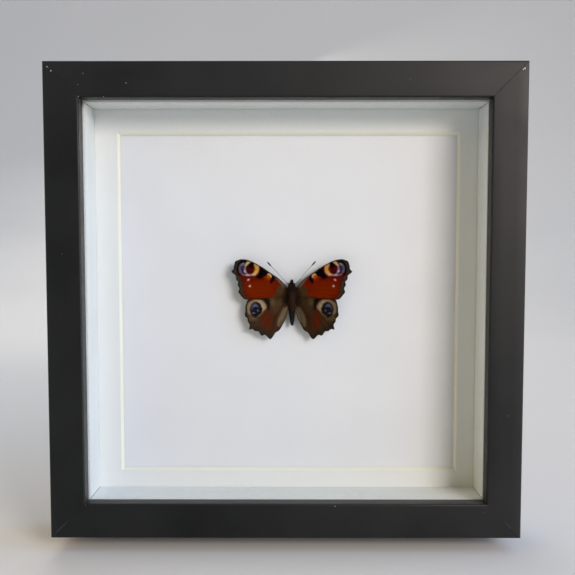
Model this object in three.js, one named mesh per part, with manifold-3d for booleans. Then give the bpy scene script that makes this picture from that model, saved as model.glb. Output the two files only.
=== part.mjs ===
// Peacock butterfly: a set specimen in a square deep frame, at life size.
// Millimetres, +Z up. The front faces -Y and the origin is the middle of the frame's underside.
// The wings lie open in front of a card, upper side to the front and head up.

import * as THREE from 'three';
import { mergeVertices } from 'three/addons/utils/BufferGeometryUtils.js';
import Module from 'manifold-3d';

const wasm = await Module();
wasm.setup();

// Gap kept between pieces that touch
const GAP = 0.3;

// Frame rails, with a lip in front and a rabbet behind it
const FRAME_SIDE = 250;
const FRAME_DEPTH = 45;
const FACE_WIDTH = 18.5;
const LIP_DEPTH = 7.5;
const RABBET = 3.5;
const EDGE_ROUND = 0.9;

// Flat pieces stacked in the rabbet, from front to back
const GLASS_THICK = 2;
const LINER_THICK = 3.2;
const LINER_DEPTH = 19.3;
const LINER_SHIFT = new THREE.Vector2(0.3, -0.6);
const MAT_THICK = 1.4;
const MAT_WINDOW = 190.8;
const MAT_SHIFT = new THREE.Vector2(1.55, -2.2);
const CARD_THICK = 1.6;
const BACK_THICK = 3;

// Retaining tabs and hanging plates behind
const TAB = { width: 12, length: 14, thick: 0.8, inRail: 5, spread: 62 };
const HANGER = { length: 44, width: 16, thick: 1.2, inset: 20 };

// Butterfly: place of the thorax on the card, measured from the frame's middle
const BUTTERFLY_PLACE = new THREE.Vector2(3.3, 2.85);

// Body sections, in the butterfly's own frame: x to its right side, y to the head, z up from the card
const THORAX = [
  { y: 4.6, across: 1.2, up: 1.3, z: 5.7 },
  { y: 4.1, across: 2.0, up: 2.1, z: 5.5 },
  { y: 2.9, across: 2.75, up: 2.75, z: 5.3 },
  { y: 0.6, across: 3.1, up: 3.0, z: 5.2 },
  { y: -1.9, across: 2.9, up: 2.85, z: 5.1 },
  { y: -3.8, across: 2.2, up: 2.3, z: 4.8 },
  { y: -4.8, across: 1.5, up: 1.6, z: 4.6 },
];
const HEAD = [
  { y: 4.9, across: 1.1, up: 1.2, z: 5.7 },
  { y: 5.3, across: 1.5, up: 1.5, z: 5.6 },
  { y: 6.1, across: 1.65, up: 1.6, z: 5.6 },
  { y: 6.7, across: 1.3, up: 1.35, z: 5.5 },
  { y: 7.1, across: 0.8, up: 0.9, z: 5.4 },
];
const ABDOMEN = [
  { y: -5.1, across: 1.5, up: 1.6, z: 4.5 },
  { y: -6.6, across: 1.85, up: 1.85, z: 4.1 },
  { y: -9.5, across: 1.75, up: 1.75, z: 3.9 },
  { y: -12.5, across: 1.45, up: 1.5, z: 3.7 },
  { y: -15.0, across: 1.1, up: 1.15, z: 3.55 },
  { y: -16.5, across: 0.75, up: 0.8, z: 3.45 },
  { y: -17.2, across: 0.35, up: 0.4, z: 3.4 },
];
const ABDOMEN_RINGS = 8;
const RING_GROOVE = 0.07;
const TAIL_DRIFT = 0.25;
const BODY_SIDES = 22;

const EYE = { x: 1.35, y: 5.95, z: 5.55, across: 0.62, along: 0.85, up: 1.0 };
const PALP = { x: 0.6, root: 7.4, tip: 8.6, z: 5.4, rise: 0.7, thick: 0.42 };
const ANTENNA = { thick: 0.26, club: 0.42, clubStart: 0.84 };
const PROBOSCIS = { y: 6.95, z: 2.75, radius: 1.15, inner: 0.55, turns: 1.15, thick: 0.25 };
const LEG_THICK = 0.3;
const SPACER = { radius: 1.5, sides: 20 };

// Wings
const WING_THICK = 0.5;
const VEIN_RISE = 0.2;
const VEIN_FOOT = 0.3;
const ROWS = 13;
const CELL_ROW = 6;

// Wing heights over the card at the root, and how much they rise toward the tip
const FOREWING_LEVEL = { root: 6.35, rise: 1.3, reach: 33 };
const HINDWING_LEVEL = { root: 4.95, rise: 0.9, reach: 26 };

// Forewing edges, from the thorax outward
const FOREWING_COSTA = [[3.4, 5.5], [5.0, 7.3], [7.6, 9.7], [11.8, 12.6], [16.9, 16.0], [22.0, 18.8],
  [25.5, 19.9], [28.2, 20.1]];
const FOREWING_INNER = [[7.0, -0.8], [10.9, -1.2], [15.8, -1.9], [21.0, -2.3], [25.0, -2.4]];
const FOREWING_ROOT = { costa: 3.7, inner: -0.5, level: FOREWING_LEVEL.root };
const FOREWING_CELL = { costa: [13.9, 13.3], inner: [12.6, -1.5] };

// Forewing outer edge: the end of each vein, and the notch after it
const FOREWING_VEINS = [
  { root: 0.10, cell: 0.10, from: 0.0, tip: [31.5, 18.7], notch: [32.05, 17.3] },
  { root: 0.20, cell: 0.18, from: 0.45, tip: [32.3, 16.0], notch: [32.4, 14.8] },
  { root: 0.30, cell: 0.27, from: 0.5, tip: [33.65, 13.25], notch: [31.3, 11.0] },
  { root: 0.42, cell: 0.40, from: 0.5, tip: [31.0, 9.0], notch: [30.0, 7.6] },
  { root: 0.53, cell: 0.53, from: 0.5, tip: [30.3, 6.1], notch: [29.4, 3.8] },
  { root: 0.64, cell: 0.64, from: 0.0, tip: [29.9, 1.9], notch: [28.7, 0.3] },
  { root: 0.76, cell: 0.76, from: 0.3, tip: [27.9, -0.6], notch: [27.0, -1.5] },
  { root: 0.89, cell: 0.90, from: 0.0, tip: [26.2, -2.0], notch: null },
];

// Hindwing edges: the front edge runs under the forewing
const HINDWING_COSTA = [[4.5, 0.6], [8.0, 2.6], [14.0, 3.2], [19.5, 1.8], [22.8, -0.6], [24.8, -3.0]];
const HINDWING_INNER = [[2.65, -6.0], [2.25, -9.4], [3.4, -13.1], [4.9, -16.1], [6.9, -19.3]];
const HINDWING_ROOT = { costa: -0.9, inner: -3.9, level: HINDWING_LEVEL.root };
const HINDWING_CELL = { costa: [13.4, 3.2], inner: [2.55, -9.0] };

const HINDWING_VEINS = [
  { root: 0.12, cell: 0.15, from: 0.0, tip: [25.8, -6.3], notch: [26.1, -8.8] },
  { root: 0.24, cell: 0.29, from: 0.0, tip: [26.15, -11.3], notch: [24.9, -13.1] },
  { root: 0.36, cell: 0.40, from: 0.45, tip: [24.6, -14.6], notch: [23.6, -16.5] },
  { root: 0.48, cell: 0.50, from: 0.45, tip: [23.7, -19.2], notch: [20.9, -19.8] },
  { root: 0.60, cell: 0.61, from: 0.3, tip: [16.9, -22.5], notch: [14.9, -22.3] },
  { root: 0.72, cell: 0.73, from: 0.0, tip: [11.95, -24.5], notch: [9.9, -22.3] },
  { root: 0.86, cell: 0.87, from: 0.0, tip: [8.2, -19.8], notch: null },
];

// Colours of the materials
const COLOURS = {
  frame: 0x1c1e1c,
  glass: 0xe8efee,
  liner: 0xb9bab4,
  mat: 0xefefec,
  card: 0xdededf,
  board: 0x8a6a48,
  steel: 0xa9acae,
  forewing: 0x741f0a,
  hindwing: 0x54402a,
  body: 0x2a1d14,
  limb: 0x17110d,
  eye: 0x120c0a,
  spacer: 0xd8cfae,
};

const MIDDLE = FRAME_SIDE / 2;
const OPENING_HALF = MIDDLE - FACE_WIDTH;
const RABBET_HALF = OPENING_HALF + RABBET;
const STACK_HALF = RABBET_HALF - GAP;
const GLASS_FRONT = LIP_DEPTH + GAP;
const LINER_FRONT = GLASS_FRONT + GLASS_THICK + GAP;
const MAT_FRONT = LINER_FRONT + LINER_DEPTH + GAP;
const CARD_FRONT = MAT_FRONT + MAT_THICK + GAP;
const BACK_FRONT = CARD_FRONT + CARD_THICK + GAP;
const TAB_FRONT = BACK_FRONT + BACK_THICK + GAP;

const group = new THREE.Group();
group.name = 'peacock_butterfly_in_frame';
const butterfly = new THREE.Group();
butterfly.position.set(BUTTERFLY_PLACE.x, depthToY(CARD_FRONT), MIDDLE + BUTTERFLY_PLACE.y);
butterfly.rotation.x = Math.PI / 2;
group.add(butterfly);

// Depth behind the frame's front, as a Y coordinate
function depthToY(depth) {
  return depth - FRAME_DEPTH / 2;
}

function material(colour, roughness, extra = {}) {
  return new THREE.MeshStandardMaterial({ color: COLOURS[colour], roughness, metalness: 0, ...extra });
}

function addNode(parent, name, geometry, look) {
  const mesh = new THREE.Mesh(geometry, look);
  mesh.name = name;
  parent.add(mesh);
  return mesh;
}

// Closed geometry from points and triangles, turned so that its faces point out
function closedGeometry(points, triangles) {
  const [a, b, c] = [new THREE.Vector3(), new THREE.Vector3(), new THREE.Vector3()];
  let volume = 0;
  for (const [i, j, k] of triangles) {
    volume += a.copy(points[i]).dot(b.copy(points[j]).cross(c.copy(points[k])));
  }
  const faces = volume < 0 ? triangles.map(([i, j, k]) => [i, k, j]) : triangles;
  const geometry = new THREE.BufferGeometry().setFromPoints(points);
  geometry.setIndex(faces.flat());
  geometry.computeVertexNormals();
  return geometry;
}

function toManifold(geometry) {
  const bare = geometry.clone();
  bare.deleteAttribute('normal');
  bare.deleteAttribute('uv');
  const merged = mergeVertices(bare, 1e-4);
  return new wasm.Manifold(new wasm.Mesh({
    numProp: 3,
    vertProperties: new Float32Array(merged.attributes.position.array),
    triVerts: new Uint32Array(merged.index.array),
  }));
}

// First geometry with the others cut away
function cutAway(geometry, cutters) {
  let solid = toManifold(geometry);
  for (const cutter of cutters) {
    solid = solid.subtract(toManifold(cutter));
  }
  const mesh = solid.getMesh();
  const result = new THREE.BufferGeometry();
  result.setAttribute('position', new THREE.BufferAttribute(new Float32Array(mesh.vertProperties), 3));
  result.setIndex(new THREE.BufferAttribute(new Uint32Array(mesh.triVerts), 1));
  result.computeVertexNormals();
  return result;
}

// Box from one corner to the other in the row's frame
function boxBetween(low, high) {
  const size = high.map((value, axis) => value - low[axis]);
  const geometry = new THREE.BoxGeometry(...size);
  geometry.translate(...low.map((value, axis) => value + size[axis] / 2));
  return geometry;
}

// Flat square plate at a depth, centred on the frame
function plate(half, front, thick) {
  return boxBetween(
    [-half, depthToY(front), MIDDLE - half],
    [half, depthToY(front + thick), MIDDLE + half],
  );
}

// Rings of points joined into one closed body with flat ends
function loft(rings) {
  const sides = rings[0].length;
  const points = rings.flat();
  const triangles = [];
  for (let ring = 0; ring < rings.length - 1; ring += 1) {
    for (let side = 0; side < sides; side += 1) {
      const next = (side + 1) % sides;
      const [a, b] = [ring * sides + side, ring * sides + next];
      triangles.push([a, b, b + sides], [a, b + sides, a + sides]);
    }
  }
  const centres = [rings[0], rings.at(-1)].map((ring) => {
    const centre = ring.reduce((sum, point) => sum.add(point), new THREE.Vector3());
    return centre.divideScalar(sides);
  });
  const first = points.length;
  const lastRing = (rings.length - 1) * sides;
  points.push(...centres);
  for (let side = 0; side < sides; side += 1) {
    const next = (side + 1) % sides;
    triangles.push([first, next, side], [first + 1, lastRing + side, lastRing + next]);
  }
  return closedGeometry(points, triangles);
}

// Oval ring of points about a centre, from two half-axes
function ovalRing(centre, across, up, sides) {
  return Array.from({ length: sides }, (_, side) => {
    const angle = (2 * Math.PI * side) / sides;
    return centre.clone().addScaledVector(across, Math.cos(angle)).addScaledVector(up, Math.sin(angle));
  });
}

// Round body along a curve, with its radius as a function of the place along it
function tapered(curve, radiusAt, steps, sides) {
  const frames = curve.computeFrenetFrames(steps, false);
  const rings = [];
  for (let step = 0; step <= steps; step += 1) {
    const at = step / steps;
    const radius = radiusAt(at);
    const across = frames.normals[step].clone().multiplyScalar(radius);
    const up = frames.binormals[step].clone().multiplyScalar(radius);
    rings.push(ovalRing(curve.getPointAt(at), across, up, sides));
  }
  return loft(rings);
}

function curveThrough(points) {
  return new THREE.CatmullRomCurve3(points.map((point) => new THREE.Vector3(...point)), false, 'centripetal');
}

// Size of a body at a place along it, between its listed sections
function sectionAt(sections, y) {
  const after = Math.max(1, sections.findIndex((section) => section.y <= y));
  const [a, b] = [sections[after - 1], sections[after]];
  const share = THREE.MathUtils.clamp((a.y - y) / (a.y - b.y), 0, 1);
  const mix = (key) => THREE.MathUtils.lerp(a[key], b[key], share);
  return { y, across: mix('across'), up: mix('up'), z: mix('z') };
}

// Half-width of a body at a height over the card
function halfWidth(sections, y, z) {
  const section = sectionAt(sections, y);
  const rise = THREE.MathUtils.clamp((z - section.z) / section.up, -1, 1);
  return section.across * Math.sqrt(1 - rise * rise);
}

function bodyRing(section, scale = 1, drift = 0) {
  return ovalRing(
    new THREE.Vector3(drift, section.y, section.z),
    new THREE.Vector3(section.across * scale, 0, 0),
    new THREE.Vector3(0, 0, section.up * scale),
    BODY_SIDES,
  );
}

// Smooth body from its listed sections, with extra rings between them
function bodyOf(sections, ringsBetween) {
  const rings = [];
  for (let index = 0; index < sections.length - 1; index += 1) {
    const [a, b] = [sections[index], sections[index + 1]];
    for (let ring = 0; ring < ringsBetween; ring += 1) {
      rings.push(bodyRing(sectionAt(sections, THREE.MathUtils.lerp(a.y, b.y, ring / ringsBetween))));
    }
  }
  rings.push(bodyRing(sections.at(-1)));
  return loft(rings);
}

// Abdomen with a shallow groove between its rings
function abdomenGeometry() {
  const [start, end] = [ABDOMEN[0].y, ABDOMEN.at(-1).y];
  const perRing = 3;
  const count = ABDOMEN_RINGS * perRing;
  const rings = [];
  for (let index = 0; index <= count; index += 1) {
    const along = index / count;
    const section = sectionAt(ABDOMEN, THREE.MathUtils.lerp(start, end, along));
    const groove = index % perRing === 0 && index > 0 && index < count ? RING_GROOVE : 0;
    rings.push(bodyRing(section, 1 - groove, TAIL_DRIFT * along));
  }
  return loft(rings);
}

function eyeGeometry(side, extra = 0) {
  const geometry = new THREE.SphereGeometry(1, 16, 12);
  geometry.scale(EYE.across + extra, EYE.along + extra, EYE.up + extra);
  geometry.translate(side * EYE.x, EYE.y, EYE.z);
  return geometry;
}

function palpGeometry(side) {
  const curve = curveThrough([
    [side * PALP.x, PALP.root, PALP.z],
    [side * PALP.x, (PALP.root + PALP.tip) / 2, PALP.z + PALP.rise * 0.4],
    [side * PALP.x * 0.8, PALP.tip, PALP.z + PALP.rise],
  ]);
  return tapered(curve, (at) => PALP.thick * (1 - 0.55 * at), 5, 10);
}

function antennaGeometry(side) {
  const curve = curveThrough([
    [side * 0.75, 5.55, 7.5],
    [side * 2.5, 6.9, 8.15],
    [side * 7.6, 12.4, 8.5],
    [side * 13.8, 18.85, 8.1],
  ]);
  const radiusAt = (at) => {
    const swell = THREE.MathUtils.smoothstep(at, ANTENNA.clubStart, 0.94);
    const tip = THREE.MathUtils.smoothstep(at, 0.965, 1.02);
    return (ANTENNA.thick + (ANTENNA.club - ANTENNA.thick) * swell) * (1 - 0.7 * tip);
  };
  return tapered(curve, radiusAt, 30, 8);
}

// Coiled tongue under the head
function proboscisGeometry() {
  const points = [];
  const count = 12;
  for (let index = 0; index <= count; index += 1) {
    const along = index / count;
    const radius = THREE.MathUtils.lerp(PROBOSCIS.radius, PROBOSCIS.inner, along);
    const angle = Math.PI - along * PROBOSCIS.turns * 2 * Math.PI;
    points.push([0, PROBOSCIS.y + radius * Math.cos(angle), PROBOSCIS.z + radius * Math.sin(angle)]);
  }
  return tapered(curveThrough(points), (at) => PROBOSCIS.thick * (1 - 0.3 * at), 28, 8);
}

// Leg folded under the thorax: hip, knee, ankle and foot
function legGeometry(side, y, size, backward) {
  const hipX = 2.0;
  const section = sectionAt(THORAX, y);
  const under = section.z - section.up * Math.sqrt(1 - (hipX / section.across) ** 2);
  const curve = curveThrough([
    [side * hipX, y, under - GAP - LEG_THICK],
    [side * (hipX + 2.4 * size), y + 0.6 * size, 2.7],
    [side * (hipX + 1.3 * size), y - 1.1 * size * backward, 1.3],
    [side * (hipX + 1.7 * size), y - 2.6 * size * backward, GAP + LEG_THICK],
  ]);
  return tapered(curve, (at) => LEG_THICK * (1 - 0.15 * at), 14, 8);
}

// Cork-like spacer between the card and the thorax
function spacerGeometry() {
  const section = sectionAt(THORAX, 0);
  const height = section.z - section.up - 2 * GAP;
  const geometry = new THREE.CylinderGeometry(SPACER.radius, SPACER.radius, height, SPACER.sides);
  geometry.rotateX(Math.PI / 2);
  geometry.translate(0, 0, GAP + height / 2);
  return geometry;
}

// Points across the root, on the thorax's side and a gap away from it
function rootPoint(root, share) {
  const y = THREE.MathUtils.lerp(root.costa, root.inner, share);
  return [halfWidth(THORAX, y, root.level - WING_THICK / 2) + GAP, y];
}

function lerpPoint(a, b, share) {
  return [THREE.MathUtils.lerp(a[0], b[0], share), THREE.MathUtils.lerp(a[1], b[1], share)];
}

// A column runs from the root to the outer edge; the cell row is where most veins branch
function column(wing, rootShare, cellShare, tip) {
  const root = rootPoint(wing.root, rootShare);
  const cell = lerpPoint(wing.cell.costa, wing.cell.inner, cellShare);
  return edgeColumn([root, cell, tip], 0);
}

// Column through listed points, with its rows at even steps along it
function edgeColumn(points, rise) {
  const curve = curveThrough(points.map(([x, y]) => [x, y, 0]));
  const rows = Array.from({ length: ROWS + 1 }, (_, row) => {
    const point = curve.getPointAt(row / ROWS);
    return [point.x, point.y];
  });
  return { rows, riseAt: () => rise };
}

function mixColumns(a, b, share) {
  return { rows: a.rows.map((point, row) => lerpPoint(point, b.rows[row], share)), riseAt: () => 0 };
}

// All columns of a wing: its two edges, and a foot, crest and foot for each vein
function wingColumns(wing) {
  const costa = edgeColumn([rootPoint(wing.root, 0), ...wing.costa], VEIN_RISE);
  const inner = edgeColumn([rootPoint(wing.root, 1), ...wing.inner], 0);
  const crests = wing.veins.map((vein) => {
    const crest = column(wing, vein.root, vein.cell, vein.tip);
    crest.riseAt = (at) => VEIN_RISE * THREE.MathUtils.smoothstep(at, vein.from - 0.05, vein.from + 0.12);
    return crest;
  });
  const columns = [costa];
  let before = costa;
  wing.veins.forEach((vein, index) => {
    const crest = crests[index];
    const next = wing.veins[index + 1];
    const after = next
      ? column(wing, (vein.root + next.root) / 2, (vein.cell + next.cell) / 2, vein.notch)
      : inner;
    if (index === 0) {
      columns.push(mixColumns(costa, crest, 0.35));
    }
    columns.push(mixColumns(crest, before, VEIN_FOOT), crest, mixColumns(crest, after, VEIN_FOOT), after);
    before = after;
  });
  return columns;
}

// Thin closed wing with its veins raised in both faces
function wingGeometry(wing, side) {
  const columns = wingColumns(wing);
  const points = [];
  for (const face of [1, -1]) {
    for (const { rows, riseAt } of columns) {
      rows.forEach(([x, y], row) => {
        const level = wing.level.root + wing.level.rise * (x / wing.level.reach) ** 1.3;
        const rise = riseAt(row / ROWS) * (face > 0 ? 1 : 0.5);
        points.push(new THREE.Vector3(side * x, y, level + face * (WING_THICK / 2 + rise)));
      });
    }
  }
  const rowCount = ROWS + 1;
  const under = columns.length * rowCount;
  const at = (col, row) => col * rowCount + row;
  const triangles = [];
  for (let col = 0; col < columns.length - 1; col += 1) {
    for (let row = 0; row < ROWS; row += 1) {
      const [a, b, c, d] = [at(col, row), at(col + 1, row), at(col + 1, row + 1), at(col, row + 1)];
      triangles.push([a, b, c], [a, c, d], [a + under, c + under, b + under], [a + under, d + under, c + under]);
    }
  }
  const rim = [];
  for (let col = 0; col < columns.length; col += 1) rim.push(at(col, 0));
  for (let row = 1; row <= ROWS; row += 1) rim.push(at(columns.length - 1, row));
  for (let col = columns.length - 2; col >= 0; col -= 1) rim.push(at(col, ROWS));
  for (let row = ROWS - 1; row > 0; row -= 1) rim.push(at(0, row));
  rim.forEach((a, index) => {
    const b = rim[(index + 1) % rim.length];
    triangles.push([a, b + under, b], [a, a + under, b + under]);
  });
  return closedGeometry(points, triangles);
}

// One rail with mitred ends, made along the bottom and turned to its place
function railGeometry() {
  const round = EDGE_ROUND * (1 - Math.SQRT1_2);
  const profile = [
    [0, EDGE_ROUND], [round, round], [EDGE_ROUND, 0],
    [FACE_WIDTH - EDGE_ROUND, 0], [FACE_WIDTH - round, round], [FACE_WIDTH, EDGE_ROUND],
    [FACE_WIDTH, LIP_DEPTH], [FACE_WIDTH - RABBET, LIP_DEPTH],
    [FACE_WIDTH - RABBET, FRAME_DEPTH], [0, FRAME_DEPTH],
  ];
  const points = [];
  for (const end of [-1, 1]) {
    for (const [inward, depth] of profile) {
      points.push(new THREE.Vector3(end * (MIDDLE - inward - GAP / 2), depthToY(depth), inward - MIDDLE));
    }
  }
  const count = profile.length;
  const triangles = [];
  for (let index = 0; index < count; index += 1) {
    const next = (index + 1) % count;
    triangles.push([index, next, next + count], [index, next + count, index + count]);
  }
  const outline = profile.map(([inward, depth]) => new THREE.Vector2(inward, depth));
  for (const [a, b, c] of THREE.ShapeUtils.triangulateShape(outline, [])) {
    triangles.push([a, c, b], [a + count, b + count, c + count]);
  }
  return closedGeometry(points, triangles);
}

// Tab across the rabbet's wall of the bottom rail, or the slot that it sits in
function tabGeometry(x, clear = 0) {
  const halfWidthX = TAB.width / 2 + clear;
  const wall = -RABBET_HALF;
  return boxBetween(
    [x - halfWidthX, depthToY(TAB_FRONT - clear), wall - TAB.inRail - clear],
    [x + halfWidthX, depthToY(TAB_FRONT + TAB.thick + clear), wall + TAB.length - TAB.inRail],
  );
}

// Keyhole plate on the back board
function hangerGeometry() {
  const [halfLength, halfWide] = [HANGER.length / 2, HANGER.width / 2];
  const shape = new THREE.Shape();
  shape.moveTo(-halfLength, -halfWide);
  shape.lineTo(halfLength, -halfWide);
  shape.lineTo(halfLength, halfWide);
  shape.lineTo(-halfLength, halfWide);
  shape.closePath();
  const hole = new THREE.Path();
  const [wide, narrow, rise] = [3.6, 1.8, 4.2];
  const opening = Math.asin(narrow / wide);
  hole.absarc(0, -1.6, wide, Math.PI / 2 + opening, Math.PI / 2 - opening, false);
  hole.absarc(0, rise - 1.6, narrow, 0, Math.PI, false);
  hole.closePath();
  shape.holes.push(hole);
  const geometry = new THREE.ExtrudeGeometry(shape, { depth: HANGER.thick, bevelEnabled: false, curveSegments: 10 });
  geometry.rotateX(Math.PI / 2);
  return geometry;
}

// Mat with a bevelled window, as a ring of four corners at each edge
function matGeometry() {
  const corners = [[-1, -1], [1, -1], [1, 1], [-1, 1]];
  const square = (half, shift, depth) => corners.map(([x, z]) => new THREE.Vector3(
    x * half + shift.x,
    depthToY(depth),
    MIDDLE + z * half + shift.y,
  ));
  const none = new THREE.Vector2();
  const window = MAT_WINDOW / 2;
  const rings = [
    square(STACK_HALF, none, MAT_FRONT),
    square(window, MAT_SHIFT, MAT_FRONT),
    square(window - MAT_THICK, MAT_SHIFT, MAT_FRONT + MAT_THICK),
    square(STACK_HALF, none, MAT_FRONT + MAT_THICK),
  ];
  const triangles = [];
  for (let ring = 0; ring < rings.length; ring += 1) {
    for (let corner = 0; corner < 4; corner += 1) {
      const next = (corner + 1) % 4;
      const to = ((ring + 1) % rings.length) * 4;
      const [a, b] = [ring * 4 + corner, ring * 4 + next];
      triangles.push([a, b, to + next], [a, to + next, to + corner]);
    }
  }
  return closedGeometry(rings.flat(), triangles);
}

// Liner board along one wall of the case; the top and bottom ones reach over the side ones
function linerGeometry(inner, outer, across, alongX) {
  const [near, far] = [depthToY(LINER_FRONT), depthToY(LINER_FRONT + LINER_DEPTH)];
  return alongX
    ? boxBetween([across[0], near, MIDDLE + inner], [across[1], far, MIDDLE + outer])
    : boxBetween([inner, near, MIDDLE + across[0]], [outer, far, MIDDLE + across[1]]);
}

// Four rails round the case, each with two slots for tabs
const SIDES = [
  { name: 'bottom', turn: 0 },
  { name: 'right', turn: -Math.PI / 2 },
  { name: 'top', turn: Math.PI },
  { name: 'left', turn: Math.PI / 2 },
];
const tabPlaces = [-TAB.spread, TAB.spread];
const rail = cutAway(railGeometry(), tabPlaces.map((x) => tabGeometry(x, GAP)));
for (const { name, turn } of SIDES) {
  const side = new THREE.Group();
  side.position.z = MIDDLE;
  side.rotation.y = turn;
  group.add(side);
  addNode(side, `frame_${name}`, rail, material('frame', 0.5));
  tabPlaces.forEach((x, index) => {
    addNode(side, `tab_${name}_${index + 1}`, tabGeometry(x), material('steel', 0.4, { metalness: 0.9 }));
  });
}

// Stack of flat pieces
addNode(group, 'glass', plate(STACK_HALF, GLASS_FRONT, GLASS_THICK), material('glass', 0.05, {
  transparent: true,
  opacity: 0.2,
}));
addNode(group, 'mat_board', matGeometry(), material('mat', 0.9));
addNode(group, 'backing_card', plate(STACK_HALF, CARD_FRONT, CARD_THICK), material('card', 0.9));
addNode(group, 'back_board', plate(STACK_HALF, BACK_FRONT, BACK_THICK), material('board', 0.8));

// Liner boards
const linerTop = STACK_HALF - LINER_THICK + LINER_SHIFT.y;
const linerLow = -STACK_HALF + LINER_THICK + LINER_SHIFT.y;
const linerRight = STACK_HALF - LINER_THICK + LINER_SHIFT.x;
const linerLeft = -STACK_HALF + LINER_THICK + LINER_SHIFT.x;
const fullWidth = [-STACK_HALF, STACK_HALF];
const between = [linerLow + GAP, linerTop - GAP];
addNode(group, 'liner_top', linerGeometry(linerTop, STACK_HALF, fullWidth, true), material('liner', 0.85));
addNode(group, 'liner_bottom', linerGeometry(-STACK_HALF, linerLow, fullWidth, true), material('liner', 0.85));
addNode(group, 'liner_left', linerGeometry(-STACK_HALF, linerLeft, between, false), material('liner', 0.85));
addNode(group, 'liner_right', linerGeometry(linerRight, STACK_HALF, between, false), material('liner', 0.85));

// Hanging plates near the top and the left side of the back board
const steelLook = () => material('steel', 0.4, { metalness: 0.9 });
const hangerY = depthToY(TAB_FRONT + HANGER.thick);
const hangerTop = addNode(group, 'hanger_top', hangerGeometry(), steelLook());
hangerTop.position.set(0, hangerY, MIDDLE + STACK_HALF - HANGER.inset);
const hangerSide = addNode(group, 'hanger_side', hangerGeometry(), steelLook());
hangerSide.position.set(-STACK_HALF + HANGER.inset, hangerY, MIDDLE);
hangerSide.rotation.y = -Math.PI / 2;

// Butterfly
const FOREWING = {
  level: FOREWING_LEVEL, root: FOREWING_ROOT, cell: FOREWING_CELL,
  costa: FOREWING_COSTA, inner: FOREWING_INNER, veins: FOREWING_VEINS,
};
const HINDWING = {
  level: HINDWING_LEVEL, root: HINDWING_ROOT, cell: HINDWING_CELL,
  costa: HINDWING_COSTA, inner: HINDWING_INNER, veins: HINDWING_VEINS,
};
const head = cutAway(bodyOf(HEAD, 2), [eyeGeometry(-1, GAP), eyeGeometry(1, GAP)]);
addNode(butterfly, 'head', head, material('body', 0.9));
addNode(butterfly, 'thorax', bodyOf(THORAX, 2), material('body', 0.95));
addNode(butterfly, 'abdomen', abdomenGeometry(), material('body', 0.9));
addNode(butterfly, 'proboscis', proboscisGeometry(), material('limb', 0.5));
addNode(butterfly, 'spacer', spacerGeometry(), material('spacer', 0.9));
for (const [name, side] of [['left', -1], ['right', 1]]) {
  addNode(butterfly, `forewing_${name}`, wingGeometry(FOREWING, side), material('forewing', 0.85));
  addNode(butterfly, `hindwing_${name}`, wingGeometry(HINDWING, side), material('hindwing', 0.85));
  addNode(butterfly, `eye_${name}`, eyeGeometry(side), material('eye', 0.3));
  addNode(butterfly, `palp_${name}`, palpGeometry(side), material('body', 0.9));
  addNode(butterfly, `antenna_${name}`, antennaGeometry(side), material('limb', 0.6));
  addNode(butterfly, `leg_front_${name}`, legGeometry(side, 2.9, 0.55, 0.6), material('limb', 0.8));
  addNode(butterfly, `leg_middle_${name}`, legGeometry(side, 0.9, 1, 0.75), material('limb', 0.6));
  addNode(butterfly, `leg_hind_${name}`, legGeometry(side, -1.9, 1, 1), material('limb', 0.6));
}

export default group;
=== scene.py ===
"""Looks of a set peacock butterfly in a square deep frame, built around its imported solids."""
import math

import bpy
import numpy as np
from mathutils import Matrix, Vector


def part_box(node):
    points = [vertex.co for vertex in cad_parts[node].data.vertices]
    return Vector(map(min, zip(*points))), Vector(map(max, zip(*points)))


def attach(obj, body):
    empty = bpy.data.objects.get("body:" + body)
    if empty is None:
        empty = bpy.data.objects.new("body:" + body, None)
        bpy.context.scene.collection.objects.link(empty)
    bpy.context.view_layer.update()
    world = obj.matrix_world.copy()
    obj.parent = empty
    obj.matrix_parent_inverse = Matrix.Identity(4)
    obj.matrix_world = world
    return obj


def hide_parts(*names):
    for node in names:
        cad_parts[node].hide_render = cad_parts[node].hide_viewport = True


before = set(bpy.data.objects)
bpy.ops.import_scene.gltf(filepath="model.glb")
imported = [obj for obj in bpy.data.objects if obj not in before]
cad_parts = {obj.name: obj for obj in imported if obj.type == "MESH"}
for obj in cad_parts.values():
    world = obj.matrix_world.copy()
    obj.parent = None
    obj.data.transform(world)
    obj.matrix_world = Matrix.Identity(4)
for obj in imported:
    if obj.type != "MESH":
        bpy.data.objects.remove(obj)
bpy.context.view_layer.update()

MM = 0.001
TURN = 2 * np.pi
X, Y, Z = np.eye(3)
SIDES = {"left": -1, "right": 1}

# Camera, from a fit to the frame's corners
CAMERA_PLACE = (0.0021, -0.3866, 0.1543)
CAMERA_PITCH = -3.25
CAMERA_TURN = 0.17
LENS_PIXELS = 700
PICTURE_PIXELS = 575
SENSOR = 36

# Frame, in millimetres
FRAME_SIDE = 250
FRAME_DEPTH = 45
FACE_WIDTH = 18.5
LIP_DEPTH = 7.5
RABBET = 3.5
EDGE_ROUND = 0.9
EDGE_BEVEL = 0.35
MIDDLE = FRAME_SIDE / 2

# Butterfly: its place on the card from the frame's middle
BUTTERFLY_X = 3.3
BUTTERFLY_Z = MIDDLE + 2.85
CARD_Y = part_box("backing_card")[0].y / MM

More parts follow.
